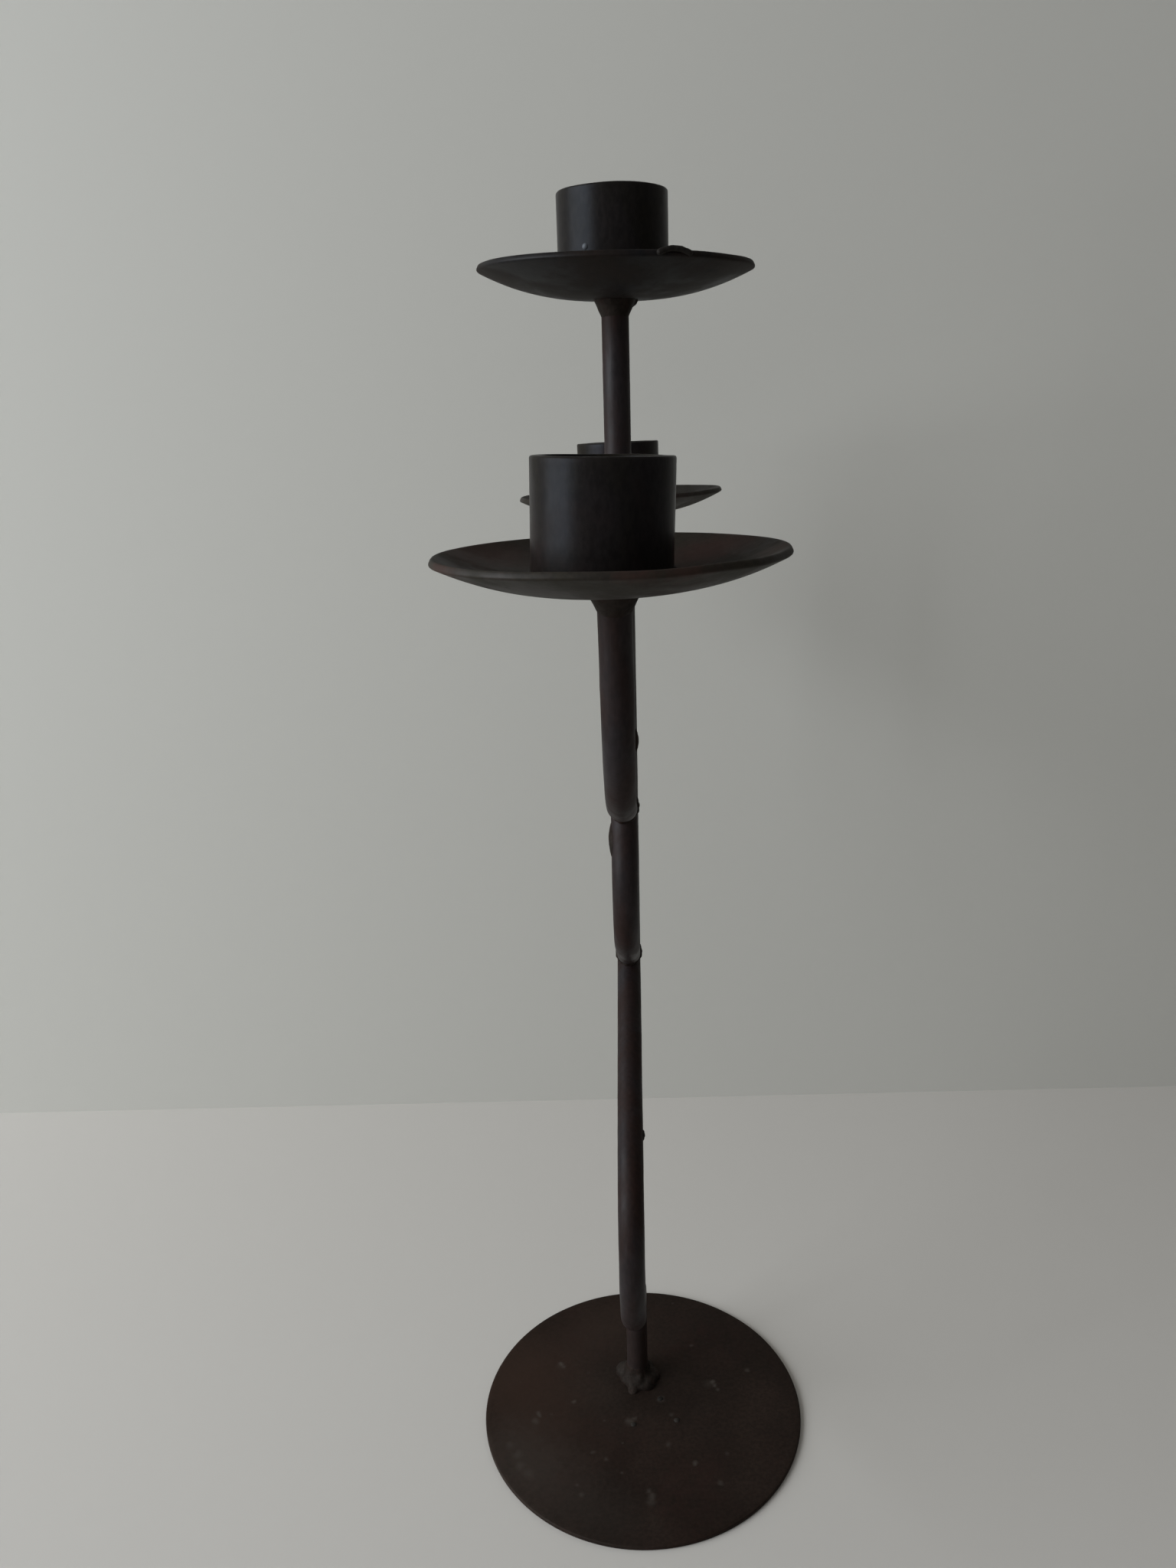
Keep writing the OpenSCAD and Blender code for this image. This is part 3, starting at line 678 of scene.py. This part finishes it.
def iron(name, skin, tint, rust, dust_and_sheen, patch, grain, rusty, wear_and_sheen, film_and_sheen, specks, smooth, rough,
         dents, depth, shine, gleam=(1, 1, 1), along_scale=(1, 1, 1), marks=()):
    """Dark iron: scale in two tones, rust through it, marks of its own, and paler edges and tops
    from wear, a dusting and painted sheen.
    """
    if name in bpy.data.materials:
        return bpy.data.materials[name]
    material = bpy.data.materials.new(name)
    material.use_nodes = True
    tree = material.node_tree
    shader = tree.nodes["Principled BSDF"]
    scale = effect(tree, "forge_scale", Patch_size=patch, Grain_size=grain, Along=along_scale)
    rusting = effect(tree, "rust_bloom", Size=patch * 0.7, Amount=rusty)
    edges = effect(tree, "edge_wear_and_sheen", Amount=wear_and_sheen)
    dusting_and_sheen = effect(tree, "dusting_and_top_sheen", Film=film_and_sheen, Specks=specks)
    colour = blended(tree, scale["Mottle"], opaque(skin), opaque(tint))
    fleck = blended(tree, scale["Grain"], (0.78, 0.78, 0.78, 1), (1.22, 1.22, 1.22, 1))
    colour = blended(tree, 1.0, colour, fleck, "MULTIPLY")
    colour = blended(tree, rusting["Mask"], colour, opaque(rust))
    for mark, ragged, mark_colour in marks:
        mask = effect(tree, mark, Ragged=ragged)["Mask"]
        colour = blended(tree, mask, colour, opaque(mark_colour))
    # Edges painted paler: wear, and a painted sheen on rims and bends
    colour = blended(tree, edges["Mask"], colour, opaque(dust_and_sheen, 0.6))
    # Tops painted paler: a dusting, and on the welds a painted sheen
    colour = blended(tree, dusting_and_sheen["Mask"], colour, opaque(dust_and_sheen))
    tree.links.new(colour, shader.inputs["Base Color"])
    gloss = spread(tree, scale["Mottle"], 0.0, 1.0, smooth, rough)
    gloss = maths(tree, "ADD", gloss, maths(tree, "MULTIPLY", rusting["Mask"], 0.2))
    gloss = maths(tree, "ADD", gloss, maths(tree, "MULTIPLY", dusting_and_sheen["Mask"], 0.3), True)
    tree.links.new(gloss, shader.inputs["Roughness"])
    bump = add_node(tree, "Bump", None, {"Strength": dents, "Distance": depth,
                                         "Height": scale["Height"]})
    tree.links.new(bump.outputs["Normal"], shader.inputs["Normal"])
    shader.inputs["Specular IOR Level"].default_value = shine
    shader.inputs["Specular Tint"].default_value = opaque(gleam)
    return material


def bar_finish(context):
    c = sizes(context, "finishes")
    return iron("bar_iron", c.bar_iron, shade(c.rust, 0.6), c.rust, c.dust_and_sheen, patch=70, grain=1100,
                along_scale=(1, 1, 0.35), rusty=0.3, wear_and_sheen=0.1, film_and_sheen=0.02, specks=0.1, smooth=0.44,
                rough=0.60, dents=0.35, depth=0.0004, shine=0.128,
                marks=(("foot_dust", 0.004, c.dust_and_sheen),))


# The base's finish; grey patches paint its left paler
def base_finish(context):
    c = sizes(context, "finishes")
    return iron("base_iron", c.base_sheet, shade(c.base_sheet, 1.5), c.rust, c.dust_and_sheen, patch=42,
                grain=800, rusty=0.45, wear_and_sheen=0.3, film_and_sheen=0.03, specks=0.3, smooth=0.55, rough=0.70,
                dents=0.3, depth=0.0005, shine=0.10, gleam=(1.0, 0.93, 0.88),
                marks=(("ruddy_places", 0.014, c.ruddy), ("pale_left_patches", 0.014, c.dust_and_sheen),
                       ("pale_flecks", 0.0016, c.dust_and_sheen)))


def rusty_sheet_finish(context):
    c = sizes(context, "finishes")
    return iron("rusty_iron", c.rusty_sheet, shade(c.olive, 1.3), c.rust, c.dust_and_sheen, patch=48,
                grain=800, rusty=0.6, wear_and_sheen=0.35, film_and_sheen=0.04, specks=0.3, smooth=0.5, rough=0.66,
                dents=0.3, depth=0.0005, shine=0.16,
                marks=(("pan_rust", 0.010, shade(c.rust, 1.5)),))


# The centre pan's finish, with two near-black spots painted inside its rim
def grey_sheet_finish(context):
    c = sizes(context, "finishes")
    return iron("grey_sheet_iron", c.grey_sheet, shade(c.base_sheet, 0.8), c.rust, c.dust_and_sheen, patch=52,
                grain=800, rusty=0.25, wear_and_sheen=0.25, film_and_sheen=0.03, specks=0.3, smooth=0.45, rough=0.6,
                dents=0.3, depth=0.0005, shine=0.105,
                marks=(("pan_dark_spots", 0.0016, shade(c.grey_sheet, 0.15)),))


def pipe_finish(context):
    c = sizes(context, "finishes")
    return iron("pipe_iron", c.pipe_iron, shade(c.olive, 0.75), c.rust, c.dust_and_sheen, patch=50, grain=900,
                along_scale=(1, 1, 0.5), rusty=0.25, wear_and_sheen=0.3, film_and_sheen=0.02, specks=0.15, smooth=0.31,
                rough=0.44, dents=0.25, depth=0.0003, shine=0.074, gleam=(0.76, 0.85, 1.0))


# A strong top layer paints the welds' tops paler: a dusting and a painted sheen on the lumps
def weld_finish(context):
    c = sizes(context, "finishes")
    return iron("weld_iron", c.weld_iron, shade(c.weld_iron, 0.7), c.rust, c.dust_and_sheen, patch=260,
                grain=1500, rusty=0.6, wear_and_sheen=0.1, film_and_sheen=0.28, specks=0.1, smooth=0.60, rough=0.75,
                dents=0.5, depth=0.0003, shine=0.09, gleam=(1.0, 0.93, 0.86))


# Finish of the spatter and the burr, with a painted glint over the drop on the centre cup
def drop_finish(context):
    c = sizes(context, "finishes")
    return iron("glinting_drop", shade(c.dust_and_sheen, 0.20), shade(c.dust_and_sheen, 0.15), c.rust, c.dust_and_sheen,
                patch=300, grain=1500, rusty=0.2, wear_and_sheen=0.0, film_and_sheen=0.2, specks=0.1, smooth=0.55,
                rough=0.7, dents=0.4, depth=0.0003, shine=0.10,
                marks=(("drop_painted_glint", 0.0, c.glinting_drop),))


# Pieces


class BaseDisc(bpy.types.Operator):
    """Cut the flat base disc and round its edge"""
    bl_idname = "candelabra.base_disc"
    bl_label = "Base disc"

    def execute(self, context):
        base = sizes(context, "base")
        radius, thick = base.across / 2, base.thick
        rings, dip, ragged = 30, 0.00010, 0.0022
        bm = bmesh.new()
        middle = bm.verts.new((0, 0, thick))
        grow_profile(bm, middle, (radius / rings, 0, 0), rings)
        spin_full(bm, TURNED_STEPS)
        thicken(bm, thick, 1)
        round_edges(bm, base.rim_round)
        for v in bm.verts:
            share = min(1, max(0, v.co.z / thick))
            v.co.z -= dip * share * (1 + noise.noise(v.co / 0.017))
            rim = max(0, v.co.xy.length / radius - 0.9) * 10
            wave = noise.noise(v.co / 0.021 + Vector((3, 0, 5)))
            v.co.xy *= 1 - ragged * rim * (1 + wave) / 2
        finish_piece("base_disc", bm, base_finish(context), ["base_plate"])
        return {"FINISHED"}


class Bars(bpy.types.Operator):
    """Bend the main bar, the centre bar and the front arm"""
    bl_idname = "candelabra.bars"
    bl_label = "Bent bars"

    def execute(self, context):
        bars, base = sizes(context, "bars"), sizes(context, "base")
        radius = bars.across / 2
        for name, node, line, bends, light in (
                ("main_bar", "main_rod", MAIN_LINE, MAIN_BENDS, 2),
                ("centre_bar", "centre_rod", CENTRE_LINE, CENTRE_BENDS, 1),
                ("front_bar", "front_arm", FRONT_LINE, FRONT_BENDS, 0)):
            bm = bent_bar(line, bends, radius, bars.sides)
            forge_marks(bm, bars.uneven, 0.009, sunk=0.0)
            close_ends(bm)
            bmesh.ops.transform(bm, matrix=standing(context), verts=bm.verts[:])
            pan = at_light(context, light)
            cut_flat(bm, pan.translation, pan.to_3x3() @ Vector((0, 0, 1)))
            if node == "main_rod":
                cut_flat(bm, (0, 0, base.thick - SUNK), (0, 0, -1))
            finish_piece(name, bm, bar_finish(context), [node])
        return {"FINISHED"}


class DripPans(bpy.types.Operator):
    """Beat the three drip pans out of sheet"""
    bl_idname = "candelabra.drip_pans"
    bl_label = "Drip pans"

    def execute(self, context):
        pans = sizes(context, "pans")
        arc, slope = pan_arc(pans)
        flat = pans.flat / 2
        flat_rings, wall_rings = 6, 30
        true_r, beaten_r, ragged = 0.008, 0.027, 0.005
        for i, light in enumerate(LIGHTS):
            bm = bmesh.new()
            middle = bm.verts.new((0, 0, 0))
            edge = grow_profile(bm, middle, (flat / flat_rings, 0, 0), flat_rings)
            bmesh.ops.spin(bm, geom=[edge], cent=(flat, 0, arc), axis=(0, -1, 0), dvec=(0, 0, 0),
                           angle=slope, steps=wall_rings, use_merge=False, use_normal_flip=False,
                           use_duplicate=False)
            spin_full(bm, TURNED_STEPS)
            thicken(bm, pans.sheet, -1)
            round_edges(bm, pans.rim_round)
            for v in bm.verts:
                out = max(0, v.co.xy.length - true_r) / beaten_r
                seed = Vector((v.co.x, v.co.y, 0.05 * i))
                v.co.z += pans.uneven * out * noise.noise(seed / 0.016) / 2
                wave = noise.noise(seed / 0.024 + Vector((5, 2, 0)))
                v.co.xy *= 1 - ragged * out * out * (1 + wave) / 2
            bmesh.ops.transform(bm, matrix=at_light(context, i), verts=bm.verts[:])
            finish = grey_sheet_finish if light == "centre" else rusty_sheet_finish
            finish_piece(light + "_pan", bm, finish(context),
                         [light + "_drip_pan"])
        return {"FINISHED"}


class CandleCups(bpy.types.Operator):
    """Saw the three candle cups off a pipe and fit their feet to the pans"""
    bl_idname = "candelabra.candle_cups"
    bl_label = "Candle cups"

    def execute(self, context):
        cups, pans = sizes(context, "cups"), sizes(context, "pans")
        outer = cups.bore / 2 + cups.wall
        rings, sides, saw_dip, ragged = 18, 120, 0.00012, 0.003
        for i, light in enumerate(LIGHTS):
            tall = pans.sheet + cups.height[i]
            bm = bmesh.new()
            bmesh.ops.create_circle(bm, cap_ends=False, radius=outer, segments=sides)
            draw_out(bm, bm.edges[:], (0, 0, tall / rings), rings)
            bmesh.ops.recalc_face_normals(bm, faces=bm.faces[:])
            outward = bm.faces[:][0]
            if outward.normal.xy.dot(outward.calc_center_median().xy) < 0:
                bmesh.ops.reverse_faces(bm, faces=bm.faces[:])
            bmesh.ops.solidify(bm, geom=bm.faces[:], thickness=cups.wall)
            round_edges(bm, cups.lip_round,
                        frozenset(v for v in bm.verts if v.co.z < tall / rings / 2))
            for v in bm.verts:
                seed = Vector((v.co.x, v.co.y, v.co.z + 0.05 * i))
                v.co.z -= saw_dip * (v.co.z / tall) * (1 + noise.noise(seed / 0.012))
                v.co.xy *= 1 + ragged * noise.noise(seed / 0.014 + Vector((1, 6, 2)))
                if v.co.xy.length < outer - cups.wall / 2:
                    v.co.xy *= 1 + max(0, pans.sheet + cups.foot_chamfer - v.co.z) / cups.bore * 2
            bmesh.ops.transform(bm, matrix=on_floor(context, i), verts=bm.verts[:])
            low = pan_floor(pans, 0)
            for v in bm.verts:
                floor = pan_floor(pans, v.co.xy.length) - SUNK
                if v.co.z < floor or v.co.z < low + SUNK:
                    v.co.z = floor
            bmesh.ops.transform(bm, matrix=at_light(context, i), verts=bm.verts[:])
            finish_piece(light + "_cup", bm, pipe_finish(context),
                         [light + "_candle_cup"])
        return {"FINISHED"}


class Welds(bpy.types.Operator):
    """Run the weld beads at the foot, at the two joints and under the pans"""
    bl_idname = "candelabra.welds"
    bl_label = "Weld beads"

    def execute(self, context):
        self.foot(context)
        self.joints(context)
        self.under_pans(context)
        return {"FINISHED"}

    def foot(self, context):
        """A ring of lumps, a cone up the bar and two lumps that ran forwards."""
        base, welds = sizes(context, "base"), sizes(context, "welds")
        bar = sizes(context, "bars").across / 2
        lumps = 7
        bm = bmesh.new()
        for i in range(lumps):
            turn = 2 * pi * i / lumps
            size = welds.foot_lump * (1 + 0.25 * sin(UNEVEN_STEP * i))
            out = bar + welds.foot_lump * (0.25 + 0.2 * cos(UNEVEN_STEP * i))
            ball(bm, (out * cos(turn), out * sin(turn), 0), size, 0.85)
        cone(bm, -BASE_THICK, welds.foot_cone, bar + 0.0032, bar + 0.0001)
        ball(bm, (-0.0016, -0.0066, -0.0006), 0.0024, 0.8)
        ball(bm, (0.0008, -0.0042, 0.0024), 0.0020)
        bm = run_together(bm, BEAD_GRAIN, 14)
        forge_marks(bm, 0.0006, 0.0024, 0.4)
        bmesh.ops.translate(bm, verts=bm.verts[:], vec=(base.foot_x, base.foot_y, base.thick))
        cut_flat(bm, (0, 0, base.thick - SUNK), (0, 0, -1))
        finish_piece("foot_bead", bm, weld_finish(context), ["foot_weld"])

    def joints(self, context):
        """A row of lumps along the line where a bar's cut end meets the bar that carries it."""
        welds = sizes(context, "welds")
        bar = sizes(context, "bars").across / 2
        lumps, sunk, swell_bead = 15, 0.0006, 0.002
        for name, node, start, way, other, sides in (
                ("centre_bar_bead", "centre_rod_weld", CENTRE_START, heading(CENTRE_LINE, 0),
                 heading(MAIN_LINE, 2), ()),
                ("front_bar_bead", "front_arm_weld", FRONT_START, heading(FRONT_LINE, 0),
                 heading(CENTRE_LINE, 1), SIDE_SWELLS)):
            bm = bmesh.new()
            between = way - other
            for i in range(lumps):
                phi = 2 * pi * (i + 0.5) / lumps
                reach = bar * (abs(cos(phi)) - cos(phi) * cos(between)) / sin(between)
                above = 2 * max(0, -cos(phi)) - 1
                across = (along(way + pi / 2) * cos(phi) + Vector((sin(phi), 0, 0))) * \
                    (bar - sunk + 0.0002 * above)
                size = welds.joint_lump * (1 + (0.22 * above + 0.08 * sin(UNEVEN_STEP * i)))
                ball(bm, in_plane(*start) + along(way) * reach + across, size)
            for up, side, span in sides:
                out = Vector((side, 0, 0))
                turn = Matrix((along(other), out.cross(along(other)), out)).transposed()
                spot = in_plane(*start) + along(other) * up + out * bar
                swelling(bm, welds.side_swell, span, swell_bead,
                         Matrix.Translation(spot) @ turn.to_4x4())
            bm = run_together(bm, JOINT_GRAIN, 4)
            forge_marks(bm, 0.00016, 0.0016, 0.5, 0.3)
            bmesh.ops.transform(bm, matrix=standing(context), verts=bm.verts[:])
            finish_piece(name, bm, weld_finish(context), [node])

    def under_pans(self, context):
        """A flare up each bar and a ring of lumps under its pan, the largest at the back."""
        welds, pans = sizes(context, "welds"), sizes(context, "pans")
        bar = sizes(context, "bars").across / 2
        sheet, fillet = pans.sheet, welds.pan_fillet
        lumps = 9
        for i, (light, line) in enumerate(zip(LIGHTS, (FRONT_LINE, CENTRE_LINE, MAIN_LINE))):
            under = at_light(context, i) @ Matrix.Translation((-pans.shift[i], 0, 0))
            way = along(heading(line, len(line) - 2))
            upright = Vector((0, 0, 1)).rotation_difference(way).to_matrix().to_4x4()
            end = standing(context) @ Matrix.Translation(in_plane(*line[-1])) @ upright
            bm = bmesh.new()
            cone(bm, -sheet - welds.pan_flare - 0.0012, 0, bar - 0.0004, bar + 0.0026, end)
            cone(bm, -sheet - 0.0085, -sheet, bar - 0.0002, bar - 0.0002, end)
            for k in range(lumps):
                turn = 2 * pi * k / lumps + i
                size = fillet * (0.85 + 0.12 * sin(UNEVEN_STEP * k + 2 * i))
                ball(bm, under @ Vector((bar * cos(turn), bar * sin(turn), 0)), size)
            turn = radians(20)
            reach = bar + fillet / 2
            ball(bm, under @ Vector((reach * cos(turn), reach * sin(turn), 0)), fillet * 0.9)
            bm = run_together(bm, BEAD_GRAIN, 9)
            forge_marks(bm, 0.0003, 0.0022, 0.5, 0.4)
            cut_flat(bm, under @ Vector((0, 0, 0.0001)), under.to_3x3() @ Vector((0, 0, 1)))
            finish_piece(light + "_pan_bead", bm, weld_finish(context),
                         [light + "_pan_weld"])


class Tacks(bpy.types.Operator):
    """Put the tacks at the feet of the cups"""
    bl_idname = "candelabra.tacks"
    bl_label = "Cup tacks"

    def execute(self, context):
        welds, pans, cups = (sizes(context, name) for name in ("welds", "pans", "cups"))
        outer = cups.bore / 2 + cups.wall
        for i, light in enumerate(LIGHTS):
            bm = bmesh.new()
            for k in range(3):
                turn = radians(25 + 120 * k)
                size = welds.tack * (1 - 0.1 * k)
                reach = outer + 0.0002
                place = Vector((cups.shift[i] + reach * cos(turn), reach * sin(turn),
                                pan_floor(pans, outer) + 0.0003))
                side = Vector((-sin(turn), cos(turn), 0))
                ball(bm, place, size, 0.9)
                ball(bm, place + side * 0.0016, size * 0.75, 0.8)
                ball(bm, place - side * 0.0013, size * 0.7, 0.8)
            bm = run_together(bm, BEAD_GRAIN, 2)
            forge_marks(bm, 0.0005, 0.0018, 0.6)
            for v in bm.verts:
                v.co.z = max(v.co.z, pan_floor(pans, v.co.xy.length) - 0.0003)
            bmesh.ops.transform(bm, matrix=at_light(context, i), verts=bm.verts[:])
            finish_piece(light + "_tacks", bm, weld_finish(context),
                         [light + "_cup_tacks"])
        return {"FINISHED"}


class Spatter(bpy.types.Operator):
    """Throw the drops of spatter on the base, the main bar and the centre cup, and leave the burr
    on the centre pan's rim"""
    bl_idname = "candelabra.spatter"
    bl_label = "Weld spatter"

    def execute(self, context):
        bm = bmesh.new()
        self.on_base_and_bar(context, bm)
        self.at_centre_light(context, bm)
        bm = run_together(bm, DROP_GRAIN, 3)
        forge_marks(bm, 0.0002, 0.0012, 0.5, 0.2)
        finish_piece("spatter", bm, drop_finish(context), ["weld_spatter"])
        return {"FINISHED"}

    def on_base_and_bar(self, context, bm):
        """Flat drops on the base, and a long one on the right of the main bar."""
        base, drop = sizes(context, "base"), sizes(context, "welds").drop
        for x, y in BASE_DROPS:
            ball(bm, (base.foot_x + x, base.foot_y + y, base.thick - 0.0003), drop, 0.6)
        way = heading(MAIN_LINE, 2)
        spot = in_plane(*MAIN_LINE[2]) + along(way) * BAR_DROP_UP
        spot.x = sizes(context, "bars").across / 2 - drop * 0.45
        for step in (-0.0009, 0, 0.0008):
            ball(bm, standing(context) @ (spot + along(way) * step), drop * (1 - abs(step) * 200))

    def at_centre_light(self, context, bm):
        """The drop on the cup's wall, and the burr along the pan's rim."""
        cups, pans = sizes(context, "cups"), sizes(context, "pans")
        centre = at_light(context, 1)
        reach = cups.bore / 2 + cups.wall - 0.0003
        drop = Vector((reach * cos(CUP_DROP_BEARING), reach * sin(CUP_DROP_BEARING), CUP_DROP_UP))
        ball(bm, centre @ on_floor(context, 1) @ drop, CUP_DROP_R)
        arc, slope = pan_arc(pans)
        rim = Vector((pans.across / 2 - pans.sheet / 2 * sin(slope), 0,
                      arc - (arc - pans.sheet) * cos(slope)))
        swelling(bm, sizes(context, "welds").burr, BURR_LENGTH, BURR_R,
                 centre @ Matrix.Rotation(BURR_BEARING, 4, "Z") @ Matrix.Translation(rim) @
                 Matrix.Rotation(radians(90), 4, "Z"))


# Stage


def plain_surface(name, colour, roughness, see_through_back=False):
    """A plain surface whose colour deepens beyond the photograph's frame, where the lamp is near
    and would burn it out."""
    material = bpy.data.materials.new(name)
    material.use_nodes = True
    tree = material.node_tree
    shader = tree.nodes["Principled BSDF"]
    where = tree.nodes.new("ShaderNodeTexCoord").outputs["Object"]
    left_to_right = add_node(tree, "SeparateXYZ", None, {"Vector": where}).outputs["X"]
    full = spread(tree, left_to_right, DEEP_AT, FULL_AT)
    tree.links.new(blended(tree, full, opaque(colour, DEEP_SHARE), opaque(colour)),
                   shader.inputs["Base Color"])
    shader.inputs["Roughness"].default_value = roughness
    shader.inputs["Specular IOR Level"].default_value = 0.2
    if see_through_back:
        back = tree.nodes.new("ShaderNodeNewGeometry").outputs["Backfacing"]
        clear = tree.nodes.new("ShaderNodeBsdfTransparent").outputs["BSDF"]
        mix = add_node(tree, "MixShader", None, {0: back, 1: shader.outputs[0], 2: clear})
        tree.links.new(mix.outputs[0], tree.nodes["Material Output"].inputs["Surface"])
    return material


def stage_plane(name, place, half_x, half_y, material):
    """A flat sheet of the stage, with its place in its mesh."""
    bm = bmesh.new()
    bmesh.ops.create_grid(bm, x_segments=1, y_segments=1, size=1,
                          matrix=place @ Matrix.Diagonal((half_x, half_y, 1, 1)))
    mesh = bpy.data.meshes.new(name)
    bm.to_mesh(mesh)
    bm.free()
    mesh.materials.append(material)
    plane = bpy.data.objects.new(name, mesh)
    bpy.context.scene.collection.objects.link(plane)


def soft_lamp(name, place, aim, width, height, power, colour):
    """A flat lamp that stands out of the camera's sight and shines on a point."""
    lamp = bpy.data.lights.new(name, "AREA")
    lamp.shape = "RECTANGLE"
    lamp.size, lamp.size_y = width, height
    lamp.energy = power
    lamp.color = colour
    holder = bpy.data.objects.new(name, lamp)
    holder.location = place
    holder.rotation_euler = (Vector(aim) - Vector(place)).to_track_quat("-Z", "Y").to_euler()
    holder.visible_camera = False
    bpy.context.scene.collection.objects.link(holder)


class Stage(bpy.types.Operator):
    """Set out the table top, the wall, the soft light and the camera"""
    bl_idname = "candelabra.stage"
    bl_label = "Stage"

    def execute(self, context):
        self.table_and_wall(context)
        self.light(context)
        self.camera(context)
        context.scene.view_settings.view_transform = "Standard"
        return {"FINISHED"}

    def table_and_wall(self, context):
        """The table top, and the wall, which is clear from behind."""
        c = sizes(context, "finishes")
        stage_plane("table_top", Matrix.Translation((0, 0, 0)), STAGE_HALF, STAGE_HALF,
                    plain_surface("table_top", c.floor, 0.45))
        upright = Matrix.Translation((0, WALL_BACK, WALL_HALF_HEIGHT)) @ \
            Matrix.Rotation(WALL_TURN, 4, "Z") @ Matrix.Rotation(radians(90), 4, "X")
        stage_plane("wall", upright, STAGE_HALF, WALL_HALF_HEIGHT,
                    plain_surface("wall", c.wall, 0.7, see_through_back=True))

    def light(self, context):
        """A wide soft window at the left, a narrow one beside it, and a dim even room."""
        soft_lamp("window", (-1.19, -0.47, 0.62), (0, 0.02, 0.22), 1.2, 1.1, 25.5,
                  (0.90, 0.955, 1.0))
        soft_lamp("window_edge", (-1.10, -0.69, 0.60), (0, 0.02, 0.25), 0.07, 0.9, 1.6,
                  (0.88, 0.95, 1.0))
        world = bpy.data.worlds.new("room")
        world.use_nodes = True
        back = world.node_tree.nodes["Background"]
        back.inputs["Color"].default_value = (0.50, 0.50, 0.49, 1)
        back.inputs["Strength"].default_value = 0.45
        context.scene.world = world

    def camera(self, context):
        """The camera at the photograph's own place, turn and angle of view."""
        ahead = Vector((-sin(CAMERA_YAW), cos(CAMERA_YAW), 0))
        level = Vector((cos(CAMERA_YAW), sin(CAMERA_YAW), 0))
        rise = ahead * sin(CAMERA_PITCH) + Vector((0, 0, cos(CAMERA_PITCH)))
        look = ahead * cos(CAMERA_PITCH) - Vector((0, 0, sin(CAMERA_PITCH)))
        right = level * cos(CAMERA_ROLL) - rise * sin(CAMERA_ROLL)
        up = rise * cos(CAMERA_ROLL) + level * sin(CAMERA_ROLL)
        lens = bpy.data.cameras.new("camera")
        lens.lens = FOCAL_PIXELS / FRAME_PIXELS * SENSOR_MM
        lens.sensor_width = SENSOR_MM
        lens.clip_start = 0.01
        holder = bpy.data.objects.new("camera", lens)
        turn = Matrix((right, up, -look)).transposed()
        holder.matrix_world = Matrix.Translation(CAMERA_AT) @ turn.to_4x4()
        context.scene.collection.objects.link(holder)
        context.scene.camera = holder


# Add-on


PIECES = (BaseDisc, Bars, DripPans, CandleCups, Welds, Tacks, Spatter, Stage)
GROUPS = {"base": BaseSizes, "bars": BarSizes, "pans": PanSizes, "cups": CupSizes,
          "welds": WeldSizes, "finishes": Finishes}


class CandelabraPanel(bpy.types.Panel):
    """Sizes, colours and pieces of the candelabra"""
    bl_idname = "VIEW3D_PT_candelabra"
    bl_label = "Candelabra"
    bl_space_type = "VIEW_3D"
    bl_region_type = "UI"
    bl_category = "Candelabra"

    def draw(self, context):
        for piece in PIECES:
            self.layout.operator(piece.bl_idname)
        for name in GROUPS:
            box = self.layout.box()
            box.label(text=name.capitalize())
            group = sizes(context, name)
            for field in group.__annotations__:
                box.prop(group, field)


def register():
    for kind in (*GROUPS.values(), *PIECES, CandelabraPanel):
        bpy.utils.register_class(kind)
    for name, kind in GROUPS.items():
        setattr(bpy.types.Scene, "candelabra_" + name, PointerProperty(type=kind))


def unregister():
    for name in GROUPS:
        delattr(bpy.types.Scene, "candelabra_" + name)
    for kind in (CandelabraPanel, *reversed(PIECES), *reversed(list(GROUPS.values()))):
        bpy.utils.unregister_class(kind)


def main():
    register()
    bpy.ops.candelabra.base_disc()
    bpy.ops.candelabra.bars()
    bpy.ops.candelabra.drip_pans()
    bpy.ops.candelabra.candle_cups()
    bpy.ops.candelabra.welds()
    bpy.ops.candelabra.tacks()
    bpy.ops.candelabra.spatter()
    bpy.ops.candelabra.stage()


if __name__ == "__main__":
    main()
